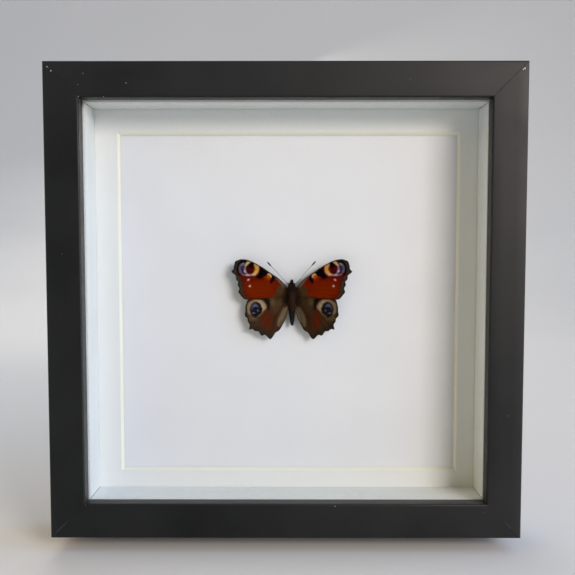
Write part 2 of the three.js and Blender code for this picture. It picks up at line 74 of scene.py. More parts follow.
# Body sections: place towards the head, half-width, half-height and height over the card
BODY = np.array([
    [7.15, 0.35, 0.45, 5.4], [6.95, 0.8, 0.9, 5.45], [6.5, 1.3, 1.3, 5.55], [5.9, 1.6, 1.5, 5.6],
    [5.2, 1.8, 1.45, 5.65], [4.75, 1.95, 1.45, 5.65], [4.1, 2.2, 1.9, 5.5], [2.9, 2.4, 2.4, 5.3],
    [0.6, 2.65, 2.6, 5.2], [-1.9, 2.5, 2.45, 5.1], [-3.8, 1.95, 2.0, 4.8], [-4.95, 1.45, 1.5, 4.55],
    [-6.6, 1.7, 1.7, 4.1], [-9.5, 1.62, 1.62, 3.9], [-12.5, 1.34, 1.38, 3.7], [-15.0, 1.0, 1.05, 3.55],
    [-16.5, 0.68, 0.72, 3.45], [-17.1, 0.3, 0.35, 3.4],
])
BODY_STEPS = 240
BODY_SIDES = 64
TAIL_DRIFT = 0.25
ABDOMEN_START = -5.1
ABDOMEN_END = -17.1
ABDOMEN_RINGS = 8

# Wings, in plan on the right: x outwards, y to the head. Each vein: its place on the root line and on the
# cell line, where along itself it starts to rise, the tooth at its end, and the notch after that
MEMBRANE = 0.09
VEIN_RISE = 0.13
VEIN_WIDTH = 0.2
PLEAT = 0.16
WING_ROWS = 150
STEPS_TO_NOTCH = 8
WINGS = {
    "forewing": {
        "level": 6.25, "rise": 0.8, "reach": 33, "seeds": {"left": 32, "right": 31},
        "root": [(2.2, 3.7), (2.2, -0.5)],
        "costa": [(3.4, 5.5), (5.0, 7.3), (7.6, 9.7), (11.8, 12.6), (16.9, 16.0), (22.0, 18.8), (25.5, 19.9),
                  (28.2, 20.1)],
        "inner": [(7.0, -0.8), (10.9, -1.2), (15.8, -1.9), (21.0, -2.3), (25.0, -2.4)],
        "cell": [(13.9, 13.3), (12.6, -1.5)],
        "veins": [
            (0.10, 0.10, 0.0, (31.1, 18.7), (31.6, 17.3)),
            (0.20, 0.18, 0.45, (31.95, 16.0), (32.0, 14.8)),
            (0.30, 0.27, 0.5, (33.2, 13.2), (30.95, 11.0)),
            (0.42, 0.40, 0.5, (30.6, 8.9), (29.5, 7.5)),
            (0.53, 0.53, 0.5, (29.8, 5.9), (28.9, 3.8)),
            (0.64, 0.64, 0.0, (29.4, 1.9), (28.3, 0.3)),
            (0.76, 0.76, 0.3, (27.6, -0.6), (26.8, -1.5)),
            (0.89, 0.90, 0.0, (26.1, -2.0), None),
        ],
    },
    "hindwing": {
        "level": 5.05, "rise": 0.9, "reach": 26, "seeds": {"left": 34, "right": 33},
        "root": [(2.0, -0.6), (1.6, -4.2)],
        "costa": [(4.5, 0.6), (8.0, 2.6), (14.0, 3.2), (19.5, 1.8), (22.8, -0.6), (24.8, -3.0)],
        "inner": [(2.3, -6.0), (2.15, -9.4), (3.3, -13.1), (4.8, -16.1), (6.4, -18.9)],
        "cell": [(13.4, 3.2), (2.55, -9.0)],
        "veins": [
            (0.12, 0.15, 0.0, (25.6, -6.5), (25.7, -8.8)),
            (0.24, 0.28, 0.0, (25.9, -11.2), (24.6, -13.0)),
            (0.35, 0.38, 0.45, (24.3, -14.5), (23.3, -16.5)),
            (0.45, 0.47, 0.45, (23.6, -18.9), (21.8, -18.8)),
            (0.54, 0.55, 0.4, (20.3, -19.9), (18.6, -20.1)),
            (0.63, 0.63, 0.3, (16.7, -22.4), (14.9, -22.0)),
            (0.73, 0.73, 0.0, (11.9, -24.4), (9.0, -20.8)),
            (0.86, 0.87, 0.0, (7.0, -19.5), None),
        ],
    },
}

# Scales and hair
SCALE_SHAPE = (0.45, 1.0, 0.8)
FRINGE_SHAPE = (0.7, 1.0, 0)
HAIR_SHAPE = (0.8, 1.0, 0.7, 0)
SCALE_ROW = 0.2
SCALE_GAP = 0.17
FRINGE_GAP = 0.07
PATCH_HALF = 0.0015


def linear(*srgb):
    """Linear colour of an sRGB colour given from 0 to 255."""
    c = np.asarray(srgb, float) / 255
    return np.where(c < 0.04045, c / 12.92, ((c + 0.055) / 1.055) ** 2.4)


def rgba(*srgb):
    return (*[float(v) for v in linear(*srgb)], 1.0)


def lit(*srgb):
    """Daylight colour, lifted to what it has to reflect under these lamps."""
    return linear(*srgb) * 1.15


# Pigments
BLACK = linear(9, 8, 10)
NAVY = linear(0, 17, 52)
RUST = lit(105, 25, 4)
RUST_WARM = lit(111, 34, 2)
RUST_DEEP = lit(86, 16, 10)
ORANGE = lit(172, 82, 10)
YELLOW = lit(192, 146, 64)
CREAM = lit(202, 168, 118)
MAROON = lit(72, 11, 6)
LILAC = lit(84, 82, 102)
LILAC_DARK = lit(46, 44, 66)
PINK = lit(150, 118, 134)
PINK_SPOT = lit(200, 148, 172)
SILVER = lit(172, 166, 166)
WHITE_SPOT = lit(214, 152, 134)
MARGIN = lit(66, 59, 47)
MARGIN_OLIVE = lit(44, 37, 25)
MARGIN_DARK = lit(26, 22, 19)
COSTA_GREY = lit(104, 104, 88)
BASE_BROWN = lit(66, 47, 26)
HIND_BROWN = lit(66, 50, 32)
HIND_PALE = lit(114, 92, 64)
HIND_DARK = lit(56, 42, 35)
HIND_RED = lit(76, 43, 29)
HIND_RUST = lit(102, 32, 9)
HIND_SHADE = lit(60, 27, 14)
HIND_EDGE = lit(29, 27, 28)
HIND_CREAM = lit(158, 136, 106)
HIND_BRIGHT = lit(206, 180, 148)
BLUE = lit(104, 118, 148)
PURPLE = lit(84, 76, 104)
FOLD = lit(150, 130, 103)
FOLD_EDGE = lit(72, 66, 50)
FRINGE = lit(25, 24, 25)
FUR_DARK = lit(24, 15, 10)
FUR_LIGHT = lit(66, 48, 38)
FUR_BASE = lit(40, 28, 19)
FUR_OLIVE = lit(70, 54, 33)
ABDOMEN_DARK = lit(33, 29, 24)
WAIST_BROWN = lit(66, 40, 28)


# Curves and meshes

def columns(*parts):
    """Points from their columns, each a number or a number per point."""
    return np.stack(np.broadcast_arrays(*parts), axis=-1)


def between(a, b, share):
    return a + (b - a) * share


def smoothstep(value, low, high):
    t = np.clip((value - low) / (high - low), 0, 1)
    return t * t * (3 - 2 * t)


def unit(vectors):
    return vectors / np.maximum(np.linalg.norm(vectors, axis=-1, keepdims=True), 1e-9)


def curve(points, steps):
    """Centripetal Catmull-Rom curve through the points, with equal steps in each span."""
    p = np.asarray(points, float)
    p = np.vstack([2 * p[0] - p[1], p, 2 * p[-1] - p[-2]])
    gap = np.maximum(np.linalg.norm(np.diff(p, axis=0), axis=1), 1e-3) ** 0.5
    t = np.linspace(0, 1, steps, endpoint=False)[:, None]
    dense = []
    for i in range(1, len(p) - 2):
        step = p[i + 1] - p[i]
        into = (p[i] - p[i - 1]) / gap[i - 1] - (p[i + 1] - p[i - 1]) / (gap[i - 1] + gap[i])
        away = (p[i + 2] - p[i + 1]) / gap[i + 1] - (p[i + 2] - p[i]) / (gap[i] + gap[i + 1])
        dense.append((2 * t**3 - 3 * t**2 + 1) * p[i] + (t**3 - 2 * t**2 + t) * (step + gap[i] * into)
                     + (3 * t**2 - 2 * t**3) * p[i + 1] + (t**3 - t**2) * (step + gap[i] * away))
    return np.vstack([*dense, p[-2]])


def run_along(points):
    """Distance of each point of a polyline from its start."""
    return np.concatenate([[0], np.cumsum(np.linalg.norm(np.diff(points, axis=0), axis=1))])


def resample(points, count):
    """Even samples along a polyline."""
    run = run_along(points)
    at = np.linspace(0, run[-1], count)
    return columns(*[np.interp(at, run, column) for column in points.T])


def smooth_path(points, count):
    """Even samples along a smooth curve through the points."""
    return resample(curve(points, 24), count)


def on_card(points):
    """Metres of points in the butterfly's own millimetres: x right, y to the head, z off the card."""
    x, y, z = np.asarray(points, float).T
    return columns(BUTTERFLY_X + x, CARD_Y - z, BUTTERFLY_Z + y) * MM


def in_frame(points):
    """Metres of points in millimetres: x from the frame's middle, depth behind its front, height."""
    return (np.asarray(points, float) - [0, FRAME_DEPTH / 2, 0]) * MM


def in_metres(points):
    """Metres of points in the frame's own millimetres."""
    return points * MM


def mesh_object(name, points, faces, looks, colours=None, patches=None, kinds=None):
    """Mesh in metres from groups of faces; colours and bake places are per point, kinds of look per face."""
    mesh = bpy.data.meshes.new(name)
    flat = [face for group in faces for face in group.tolist()]
    mesh.from_pydata(points.tolist(), [], flat)
    for look in looks.split():
        mesh.materials.append(LOOKS[look])
    mesh.polygons.foreach_set("use_smooth", np.ones(len(flat), bool))
    if kinds is not None:
        mesh.polygons.foreach_set("material_index", kinds.astype(np.int32))
    if colours is not None:
        layer = mesh.color_attributes.new("marking", "FLOAT_COLOR", "POINT")
        full = np.ones((len(points), 4), np.float32)
        full[:, :3] = colours
        layer.data.foreach_set("color", full.ravel())
    if patches is not None:
        layer = mesh.uv_layers.new(name="OFBake")
        corner = np.empty(len(mesh.loops), np.int32)
        mesh.loops.foreach_get("vertex_index", corner)
        layer.data.foreach_set("uv", patches.astype(np.float32)[corner].ravel())
    mesh.validate()
    mesh.update()
    made = bpy.data.objects.new(name, mesh)
    bpy.context.scene.collection.objects.link(made)
    return made


def piece(name, place, solid, looks, slot, *nodes, **layers):
    """A solid that rides with the frame, takes its finish from its looks and stands for some nodes; its slot
    is not used.
    """
    made = mesh_object(name, place(solid[0]), solid[1], looks, **layers)
    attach(made, "root")
    if nodes:
        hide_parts(*nodes)
    return made


def grid_faces(rows, across, closed=False):
    """Quads of a grid of points, row by row; closed joins the last column to the first."""
    last = across if closed else across - 1
    r, c = np.meshgrid(np.arange(rows - 1) * across, np.arange(last), indexing="ij")
    n = (c + 1) % across
    return np.stack([r + c, r + n, r + across + n, r + across + c], -1).reshape(-1, 4)


def oval_rings(centres, across, up, sides):
    """Rings of points about centres, from two half-axis vectors each."""
    angle = np.linspace(0, TURN, sides, endpoint=False)[None, :, None]
    return centres[:, None] + (np.cos(angle) * across[:, None] + np.sin(angle) * up[:, None])


def loft(rings):
    """Points and faces of closed rings with pointed ends."""
    count, sides = rings.shape[:2]
    points = np.vstack([rings.reshape(-1, 3), rings[0].mean(0), rings[-1].mean(0)])
    ring = np.arange(sides)
    after = (ring + 1) % sides
    last = (count - 1) * sides
    ends = [columns(count * sides, after, ring), columns(count * sides + 1, ring + last, after + last)]
    return points, [grid_faces(count, sides, closed=True), *ends]


def turned(profile, centre, across, up, axis, sides):
    """Points and faces of a turned shape: (radius, place) pairs along an axis through a centre."""
    radius, place = np.array(profile).T[:, :, None]
    return loft(oval_rings(centre + place * axis, radius * across, radius * up, sides))


def tube(path, radii, sides, squash=1.0):
    """Points and faces of a tapered tube along a path in millimetres."""
    tangent = unit(np.gradient(path, axis=0))
    across = unit(np.cross(tangent, Z if abs(tangent[:, 2]).max() < 0.95 else X))
    up = np.cross(across, tangent)
    radii = np.broadcast_to(radii, len(path))[:, None]
    return loft(oval_rings(path, across * radii, up * radii * squash, sides))


def joined(parts):
    """Several (points, faces) bodies as one."""
    starts = np.cumsum([0] + [len(points) for points, _ in parts])
    faces = [group + start for (_, groups), start in zip(parts, starts) for group in groups]
    return np.vstack([points for points, _ in parts]), faces


# Materials

class Nodes:
    """Short forms for making the nodes of a tree."""

    def __init__(self, tree):
        self.tree = tree

    def new(self, kind, inputs=None, **settings):
        made = self.tree.nodes.new("ShaderNode" + kind)
        for key, value in settings.items():
            setattr(made, key, value)
        for key, value in (inputs or {}).items():
            if isinstance(value, bpy.types.NodeSocket):
                self.tree.links.new(value, made.inputs[key])
            else:
                made.inputs[key].default_value = value
        return made

    def math(self, operation, *values, kind="Math", output=0):
        return self.new(kind, dict(enumerate(values)), operation=operation).outputs[output]

    def mix(self, factor, a, b, mode="MIX"):
        return self.new("Mix", {0: factor, 6: a, 7: b}, data_type="RGBA", blend_type=mode).outputs[2]

    def stretch(self, value, start, end, low, high):
        """The value's range from start to end, brought to low and high."""
        inputs = {"Value": value, "From Min": start, "From Max": end, "To Min": low, "To Max": high}
        return self.new("MapRange", inputs).outputs["Result"]


class Look(Nodes):
    """Material on one Principled shader."""

    def __init__(self, name, **sockets):
        self.material = bpy.data.materials.new(name)
        self.material.use_nodes = True
        super().__init__(self.material.node_tree)
        self.shader = self.tree.nodes["Principled BSDF"]
        for key, value in sockets.items():
            self.shader.inputs[key.replace("_", " ")].default_value = value

    def place(self, scale=(1, 1, 1)):
        """Coordinates on the object itself."""
        where = self.new("TexCoord").outputs["Object"]
        return self.new("Mapping", {"Vector": where, "Scale": scale}).outputs["Vector"]

    def noise(self, scale, detail=3, rough=0.5, along=1):
        """Noise whose grain is finer or coarser along the height."""
        where = self.place((1, 1, along))
        inputs = {"Vector": where, "Scale": scale, "Detail": detail, "Roughness": rough}
        return self.new("TexNoise", inputs).outputs["Fac"]

    def ramp(self, value, low, dark, high, light):
        """Colour from dark at the low value to light at the high one."""
        made = self.new("ValToRGB", {"Fac": value})
        for element, place, colour in zip(made.color_ramp.elements, (low, high), (dark, light)):
            element.position = place
            element.color = colour
        return made.outputs["Color"]

    def drive(self, value, socket="Base Color"):
        self.tree.links.new(value, self.shader.inputs[socket])

    def relief(self, height, depth, strength=0.5):
        """Bump with its depth in metres."""
        bump = self.new("Bump", {"Height": height, "Distance": depth, "Strength": strength})
        self.drive(bump.outputs["Normal"], "Normal")

    def clear_to(self, rays, tint=(1, 1, 1, 1)):
        """Some rays pass straight through."""
        clear = self.new("BsdfTransparent", {"Color": tint})
        mixed = self.new("MixShader", {0: rays, 1: self.shader.outputs[0], 2: clear.outputs[0]})
        self.tree.links.new(mixed.outputs[0], self.tree.nodes["Material Output"].inputs["Surface"])


def lacquer_look(name, dark, light):
    """Satin lacquer with a fine pebbled grain and faint rubbed patches."""
    look = Look(name, Roughness=0.5, Specular_IOR_Level=0.4)
    patches = look.noise(26, 4)
    pebbles = look.noise(1500, 3, 0.6)
    look.drive(look.ramp(look.mix(0.55, patches, pebbles), 0.3, dark, 0.72, light))
    look.drive(look.stretch(patches, 0.3, 0.7, 0.46, 0.58), "Roughness")
    look.relief(pebbles, 0.00008)
    return look.material


def board_look(name, light, dark, fibre, roughness=0.85, depth=0.00006):
    """Pressed board or card: short fibres, mottling and a dull surface."""
    look = Look(name, Roughness=roughness, Specular_IOR_Level=0.25)
    fibres = look.noise(fibre, 5, 0.65, 2.4)
    look.drive(look.ramp(look.mix(0.35, fibres, look.noise(35)), 0.32, dark, 0.68, light))
    look.relief(fibres, depth)
    return look.material


def mat_look():
    """White mat board whose slanting window edge shows the cream core."""
    look = Look("mat_board_white", Roughness=0.9, Specular_IOR_Level=0.2)
    grain = look.noise(2200)
    face = look.ramp(grain, 0.3, rgba(229, 231, 229), 0.7, rgba(237, 238, 236))
    core = look.ramp(grain, 0.3, rgba(232, 230, 212), 0.7, rgba(244, 243, 230))
    normal = look.new("NewGeometry").outputs["True Normal"]
    toward = look.math("ABSOLUTE", look.new("SeparateXYZ", {"Vector": normal}).outputs["Y"])
    look.drive(look.mix(look.math("LESS_THAN", toward, 0.9), face, core))
    look.relief(grain, 0.00003, 0.25)
    return look.material


def steel_look():
    """Zinc-plated strip with rolling marks."""
    look = Look("zinc_steel", Metallic=0.95, Roughness=0.4)
    streaks = look.noise(260, 3, 0.5, 30)
    look.drive(look.ramp(look.noise(520), 0.3, rgba(170, 171, 170), 0.7, rgba(192, 193, 190)))
    look.drive(look.stretch(streaks, 0.3, 0.7, 0.3, 0.5), "Roughness")
    look.relief(streaks, 0.00003)
    return look.material


def glass_look():
    """Clear window glass that lets the lamps through."""
    tint = rgba(253, 254, 253)
    look = Look("window_glass", Base_Color=tint, Roughness=0.0, IOR=1.5, Transmission_Weight=1.0,
                Specular_IOR_Level=0.09)
    path = look.new("LightPath").outputs
    look.clear_to(look.math("MAXIMUM", path["Is Shadow Ray"], path["Is Diffuse Ray"]), tint)
    return look.material


def marked_look(name, roughness, gloss=0.0, variety=0.25, grain=3200, depth=0.00002):
    """Surface whose colour comes from its own marking, with fine variety."""
    look = Look(name, Roughness=roughness, Sheen_Weight=0.0, Sheen_Roughness=0.5, Specular_IOR_Level=gloss)
    marking = look.new("Attribute", attribute_name="marking").outputs["Color"]
    fine = look.noise(grain, 2)
    dark, light = ((tone, tone, tone, 1) for tone in (1 - variety, 1 + variety * 0.4))
    look.drive(look.mix(1.0, marking, look.ramp(fine, 0.25, dark, 0.75, light), "MULTIPLY"))
    look.relief(fine, depth)
    return look.material


def eye_look():
    """Compound eye: tiny domes in close order, dark brown with a dull gloss."""
    look = Look("compound_eye", Roughness=0.28, Coat_Weight=0.3)
    domes = look.new("TexVoronoi", {"Vector": look.place(), "Scale": 16000}).outputs["Distance"]
    look.drive(look.ramp(domes, 0.0, rgba(44, 30, 22), 0.6, rgba(16, 10, 8)))
    look.relief(domes, -0.00003, 0.8)
    return look.material


def plain_look(name, light, dark, scale, roughness, depth=0.00003):
    """Two close tones in fine patches, with relief of the same grain."""
    look = Look(name, Roughness=roughness)
    grain = look.noise(scale, 4)
    look.drive(look.ramp(grain, 0.3, dark, 0.7, light))
    look.relief(grain, depth, 0.6)
    return look.material


def floor_look():
    """Pale studio floor that polished things don't mirror."""
    look = Look("studio_floor", Roughness=0.95, Specular_IOR_Level=0.0)
    look.drive(look.ramp(look.noise(1.5, 2), 0.3, rgba(218, 214, 208), 0.7, rgba(222, 218, 212)))
    look.clear_to(look.new("LightPath").outputs["Is Glossy Ray"])
    return look.material


LOOKS = {
    "lacquer": lacquer_look("black_lacquer", rgba(9, 11, 12), rgba(24, 26, 27)),
    # Lip faces: the black lacquer lightened to grey, a painted reflection of the white liner seen at a
    # grazing angle
    "lip": lacquer_look("lip_lacquer_painted_reflection", rgba(44, 45, 45), rgba(60, 61, 60)),
    "raw_edge": board_look("raw_fibreboard", rgba(176, 142, 100), rgba(128, 98, 66), 900),
    "liner": board_look("liner_foil_white", rgba(232, 235, 234), rgba(218, 221, 220), 300, 0.6, 0.00003),
    "mat": mat_look(),
    "card": board_look("card_white", rgba(238, 239, 242), rgba(228, 229, 233), 800, 0.9, 0.00004),
    "hardboard": board_look("hardboard_brown", rgba(146, 104, 66), rgba(104, 72, 44), 520, 0.75, 0.0001),
    "steel": steel_look(),
    "glass": glass_look(),
    "scales": marked_look("wing_scales", 0.75),
    "membrane": marked_look("wing_membrane", 0.7),
    "fur": marked_look("body_fur", 0.75),
    "cuticle": marked_look("body_cuticle", 0.6, 0.2, 0.3, 2200, 0.00006),
    "eye": eye_look(),
    "foam": plain_look("spacer_foam", rgba(226, 218, 190), rgba(196, 186, 156), 1800, 0.9, 0.0001),
    "chip": plain_look("chipped_lacquer", rgba(222, 219, 210), rgba(176, 172, 160), 2500, 0.8),
    "mitre_hairline": plain_look("mitre_hairline_grey", rgba(72, 76, 74), rgba(40, 43, 42), 2500, 0.6),
    "seam": plain_look("liner_seam_shadow", rgba(120, 122, 118), rgba(84, 86, 82), 1500, 0.9),
    "floor": floor_look(),
}


# Markings: distances in millimetres from shapes on a right wing

def ripple(x, y, wavelength, seed):
    """Smooth wandering value, mostly between -1 and 1."""
    draw = np.random.default_rng(seed)
    total = np.zeros_like(x)
    for _ in range(6):
        angle, phase = draw.uniform(0, TURN, 2)
        wave = TURN / (wavelength * draw.uniform(0.6, 1.7))
        total += np.sin(wave * (x * np.cos(angle) + y * np.sin(angle)) + phase)
    return total / 3


def oval(x, y, centre, radii, turn=0.0):
    """Distance outside an oval, negative inside."""
    c, s = math.cos(math.radians(turn)), math.sin(math.radians(turn))
    dx, dy = x - centre[0], y - centre[1]
    u, v = (dx * c + dy * s) / radii[0], (dy * c - dx * s) / radii[1]
    return (np.hypot(u, v) - 1) * min(radii)


def stroke(x, y, points, halves):
    """Distance outside a line whose half-width changes from point to point."""
    halves = np.broadcast_to(halves, len(points))
    nearest = np.full(np.shape(x), 1e9)
    for (ax, ay), (bx, by), ha, hb in zip(points, points[1:], halves, halves[1:]):
        dx, dy = bx - ax, by - ay
        t = np.clip(((x - ax) * dx + (y - ay) * dy) / (dx * dx + dy * dy), 0, 1)
        nearest = np.minimum(nearest, np.hypot(x - ax - t * dx, y - ay - t * dy) - between(ha, hb, t))
    return nearest


def blot(x, y, corners):
    """Distance outside a polygon, negative inside."""
    inside = np.zeros(np.shape(x), bool)
    for (ax, ay), (bx, by) in zip(corners, corners[1:] + corners[:1]):
        height = by - ay if by != ay else 1e-9
        inside ^= ((ay > y) != (by > y)) & (x < ax + (bx - ax) * (y - ay) / height)
    edge = stroke(x, y, corners + corners[:1], 0.0)
    return np.where(inside, -edge, edge)


def paint(base, colour, distance, soft, strength=1.0):
    """A colour laid over another where the distance is negative, with a soft edge."""
    cover = (1 - smoothstep(distance, -soft, soft))[:, None] * strength
    return base * (1 - cover) + colour * cover


def painted(base, x, y, marks):
    """Marks over a base, in order."""
    for colour, soft, strength, shape, *measures in marks:
        base = paint(base, colour, shape(x, y, *measures), soft, strength)
    return base


# Marks: colour, softness, strength, shape and its measures
FORE_GROUND = [
    (RUST_WARM, 3.0, 0.8, oval, (18.5, 2.5), (8.0, 4.5)),
    (RUST_DEEP, 1.2, 0.7, stroke, [(28.0, 10.6), (24.0, 9.3), (20.5, 9.4)], [1.4, 1.2, 0.6]),
    (RUST_DEEP, 1.4, 0.4, stroke, [(8.3, 7.6), (9.3, 4.8)], 1.0),
]
FORE_BASE = [(BASE_BROWN, 0.9, 0.8, stroke, [(5.0, -0.6), (8.5, -1.0), (12.0, -1.6)], [1.2, 0.7, 0.2])]
FORE_EYESPOT = [
    (BLACK, 0.3, 1, stroke, [(24.5, 19.3), (27.2, 18.9), (29.1, 17.4), (29.9, 15.2), (29.6, 12.8),
                             (28.6, 11.0)], [0.5, 0.7, 0.65, 0.6, 0.55, 0.45]),
    (BLACK, 0.4, 1, oval, (24.4, 14.9), (4.9, 4.2)),
    (LILAC, 0.3, 1, stroke, [(26.6, 17.8), (28.0, 16.9), (28.7, 15.1), (28.2, 13.2), (27.0, 12.0)],
     [0.45, 0.6, 0.55, 0.6, 0.4]),
    (LILAC_DARK, 0.5, 0.9, oval, (27.2, 15.5), (0.75, 1.4)),
    (SILVER, 0.5, 0.4, oval, (26.9, 17.2), (1.0, 0.6), -30),
    (MAROON, 0.6, 1, oval, (22.5, 14.2), (2.3, 2.6)),
    (BLACK, 0.8, 0.95, oval, (22.0, 16.3), (1.8, 1.4), -20),
    (ORANGE, 0.5, 0.6, stroke, [(20.5, 17.0), (20.2, 14.8), (20.7, 12.9)], [0.3, 0.4, 0.3]),
    (YELLOW, 0.3, 1, stroke, [(20.4, 17.6), (19.4, 16.6), (18.95, 14.8), (19.4, 13.0), (20.9, 11.8)],
     [0.5, 0.85, 1.0, 0.95, 0.6]),
    (CREAM, 0.35, 0.85, stroke, [(19.3, 13.0), (20.5, 11.7), (22.3, 11.3)], [0.5, 0.65, 0.45]),
    (BLACK, 0.35, 1, oval, (21.7, 17.8), (0.95, 1.2), -20),
    (CREAM, 0.35, 0.95, stroke, [(22.9, 18.6), (24.1, 18.0), (25.4, 16.6)], [0.45, 0.6, 0.45]),
    (PINK, 0.4, 0.8, stroke, [(25.4, 16.4), (25.9, 14.6), (25.6, 12.9), (24.6, 12.0)],
     [0.35, 0.5, 0.5, 0.35]),
    (PINK, 0.35, 0.75, stroke, [(22.4, 11.3), (24.2, 11.2), (27.2, 11.6)], [0.45, 0.55, 0.3]),
    (PINK_SPOT, 0.3, 1, oval, (25.75, 13.5), (0.62, 0.62)),
    (SILVER, 0.3, 1, oval, (23.85, 11.4), (1.0, 0.5)),
    (WHITE_SPOT, 0.28, 1, oval, (23.85, 8.65), (0.58, 0.58)),
    (WHITE_SPOT, 0.28, 1, oval, (22.95, 5.3), (0.56, 0.56)),
]
FORE_COSTA = [
    (RUST_DEEP * 0.6, 0.6, 0.7, oval, (17.2, 9.4), (2.4, 0.9)),
    (BLACK, 0.3, 1, blot, [(17.3, 16.4), (12.3, 12.9), (12.9, 11.9), (15.4, 10.4), (17.8, 9.3), (19.9, 10.0),
                           (18.6, 11.3), (17.5, 13.4)]),
    (RUST_WARM * 1.5, 1.0, 0.8, blot, [(12.2, 11.0), (11.3, 9.6), (12.2, 8.2), (14.6, 9.2), (15.0, 10.1)]),
    (ORANGE, 0.5, 0.95, blot, [(12.2, 11.8), (11.4, 10.0), (12.2, 9.2), (13.9, 10.2), (13.3, 11.3)]),
    (CREAM, 0.3, 0.95, stroke, [(13.3, 11.4), (12.2, 11.75), (11.5, 11.0), (11.5, 9.9)],
     [0.22, 0.5, 0.42, 0.15]),
    (BLACK, 0.35, 1, blot, [(10.9, 11.6), (9.3, 10.7), (8.6, 9.7), (9.9, 8.0), (11.3, 6.0), (12.0, 7.4),
                            (11.5, 9.3), (10.9, 10.4)]),
    (COSTA_GREY, 0.4, 0.9, stroke, [(3.4, 4.7), (5.2, 6.8), (7.6, 9.2), (9.6, 11.0)], [0.9, 0.9, 0.7, 0.2]),
]
COSTA_LINE = [(3.4, 5.3), (7.6, 9.5), (11.8, 12.4), (16.9, 15.8), (22.0, 18.6), (27.5, 19.9)]
HIND_GROUND = [
    (HIND_PALE, 1.2, 0.8, oval, (10.4, -4.0), (1.6, 2.4)),
    (HIND_RED, 1.2, 0.85, blot, [(13.4, -5.6), (9.4, -5.8), (6.4, -9.0), (8.2, -18.6), (16.6, -19.8),
                                 (18.4, -14.0), (15.2, -8.6)]),
    (HIND_SHADE, 0.8, 0.8, stroke, [(4.6, -5.0), (6.8, -7.6), (9.0, -11.2), (10.2, -16.0), (10.9, -19.5)],
     [0.5, 0.8, 0.9, 0.5, 0.2]),
]
HIND_EYESPOT = [
    (HIND_BROWN * 0.6, 0.9, 0.7, oval, (14.8, -3.2), (2.4, 2.2)),
    (HIND_CREAM, 0.5, 1, oval, (19.3, -7.1), (5.4, 5.1)),
    (HIND_BRIGHT, 0.7, 0.8, stroke, [(20.6, -2.5), (17.6, -3.4), (15.8, -5.6), (15.7, -7.4), (16.6, -9.0)],
     [0.3, 0.75, 1.0, 0.7, 0.2]),
    (HIND_CREAM, 0.5, 1, stroke, [(22.6, -4.2), (23.8, -7.0), (23.6, -10.2)], [0.5, 0.6, 0.5]),
    (HIND_PALE, 1.2, 0.85, oval, (21.6, -12.6), (3.4, 1.4)),
    (HIND_RED, 0.6, 1, blot, [(13.0, -7.2), (14.6, -7.7), (15.7, -9.0), (16.8, -10.7), (18.3, -12.5),
                              (18.6, -14.5), (13.0, -14.5)]),
    (HIND_EDGE, 0.35, 1, oval, (19.75, -7.95), (3.55, 4.4)),
    (BLACK, 0.35, 1, oval, (19.75, -7.95), (3.15, 4.0)),
    (NAVY, 0.5, 1, oval, (19.9, -7.6), (2.0, 2.7)),
    (PURPLE, 0.5, 0.75, stroke, [(21.1, -5.3), (21.9, -6.8), (21.8, -8.2)], [0.5, 0.55, 0.2]),
    (BLUE, 0.5, 0.85, stroke, [(21.0, -6.0), (20.0, -5.4), (18.9, -6.0)], [0.5, 0.75, 0.3]),
    (NAVY, 0.5, 0.9, oval, (19.6, -8.1), (1.7, 0.75), 15),
    (BLUE * 1.3, 0.3, 0.85, oval, (21.0, -9.85), (0.75, 0.35)),
    (BLUE * 1.3, 0.3, 0.85, oval, (18.7, -8.5), (0.42, 0.45)),
    (HIND_CREAM * 0.7, 0.3, 0.9, stroke, [(19.5, -11.8), (18.2, -11.2), (17.2, -10.2)], [0.1, 0.3, 0.15]),
    (BLACK, 0.4, 1, stroke, [(14.9, -1.7), (13.4, -2.9), (12.7, -5.2), (12.8, -7.0), (13.1, -8.1)],
     [0.8, 1.1, 0.85, 0.6, 0.2]),
    (HIND_RUST, 1.3, 1, stroke, [(14.5, -10.2), (13.9, -14.0), (13.3, -17.2)], [1.1, 2.3, 1.4]),
]

# What differs between the sides: tones of the wings and of their hair, which are painted light and shade, the
# right side darker and the left hair lighter; and the streaks of pale hair on the hindwing's inner fold,
# partly a painted highlight along the fold, as line, half-widths and strength
SIDE_LIGHT_SHADE = {
    "forewing": {"left": (1.0, 1.0, 1.0), "right": (0.94, 0.86, 0.92)},
    "hindwing": {"left": (0.93, 0.91, 0.9), "right": (0.69, 0.66, 0.6)},
    "hair": {"left": 1.45, "right": 0.8},
}
FOLD_STREAKS = {
    "left": [([(3.0, -6.2), (4.3, -8.8), (5.6, -11.6), (6.8, -14.0), (7.6, -16.6)],
              [0.3, 0.75, 1.0, 0.8, 0.2], 0.95)],
    "right": [([(2.3, -7.8), (3.1, -10.6), (4.5, -13.8)], [0.3, 0.5, 0.3], 0.95),
              ([(5.2, -8.0), (6.7, -11.4), (7.3, -14.4), (7.7, -16.4)], [0.2, 0.5, 0.6, 0.2], 0.6)],
}


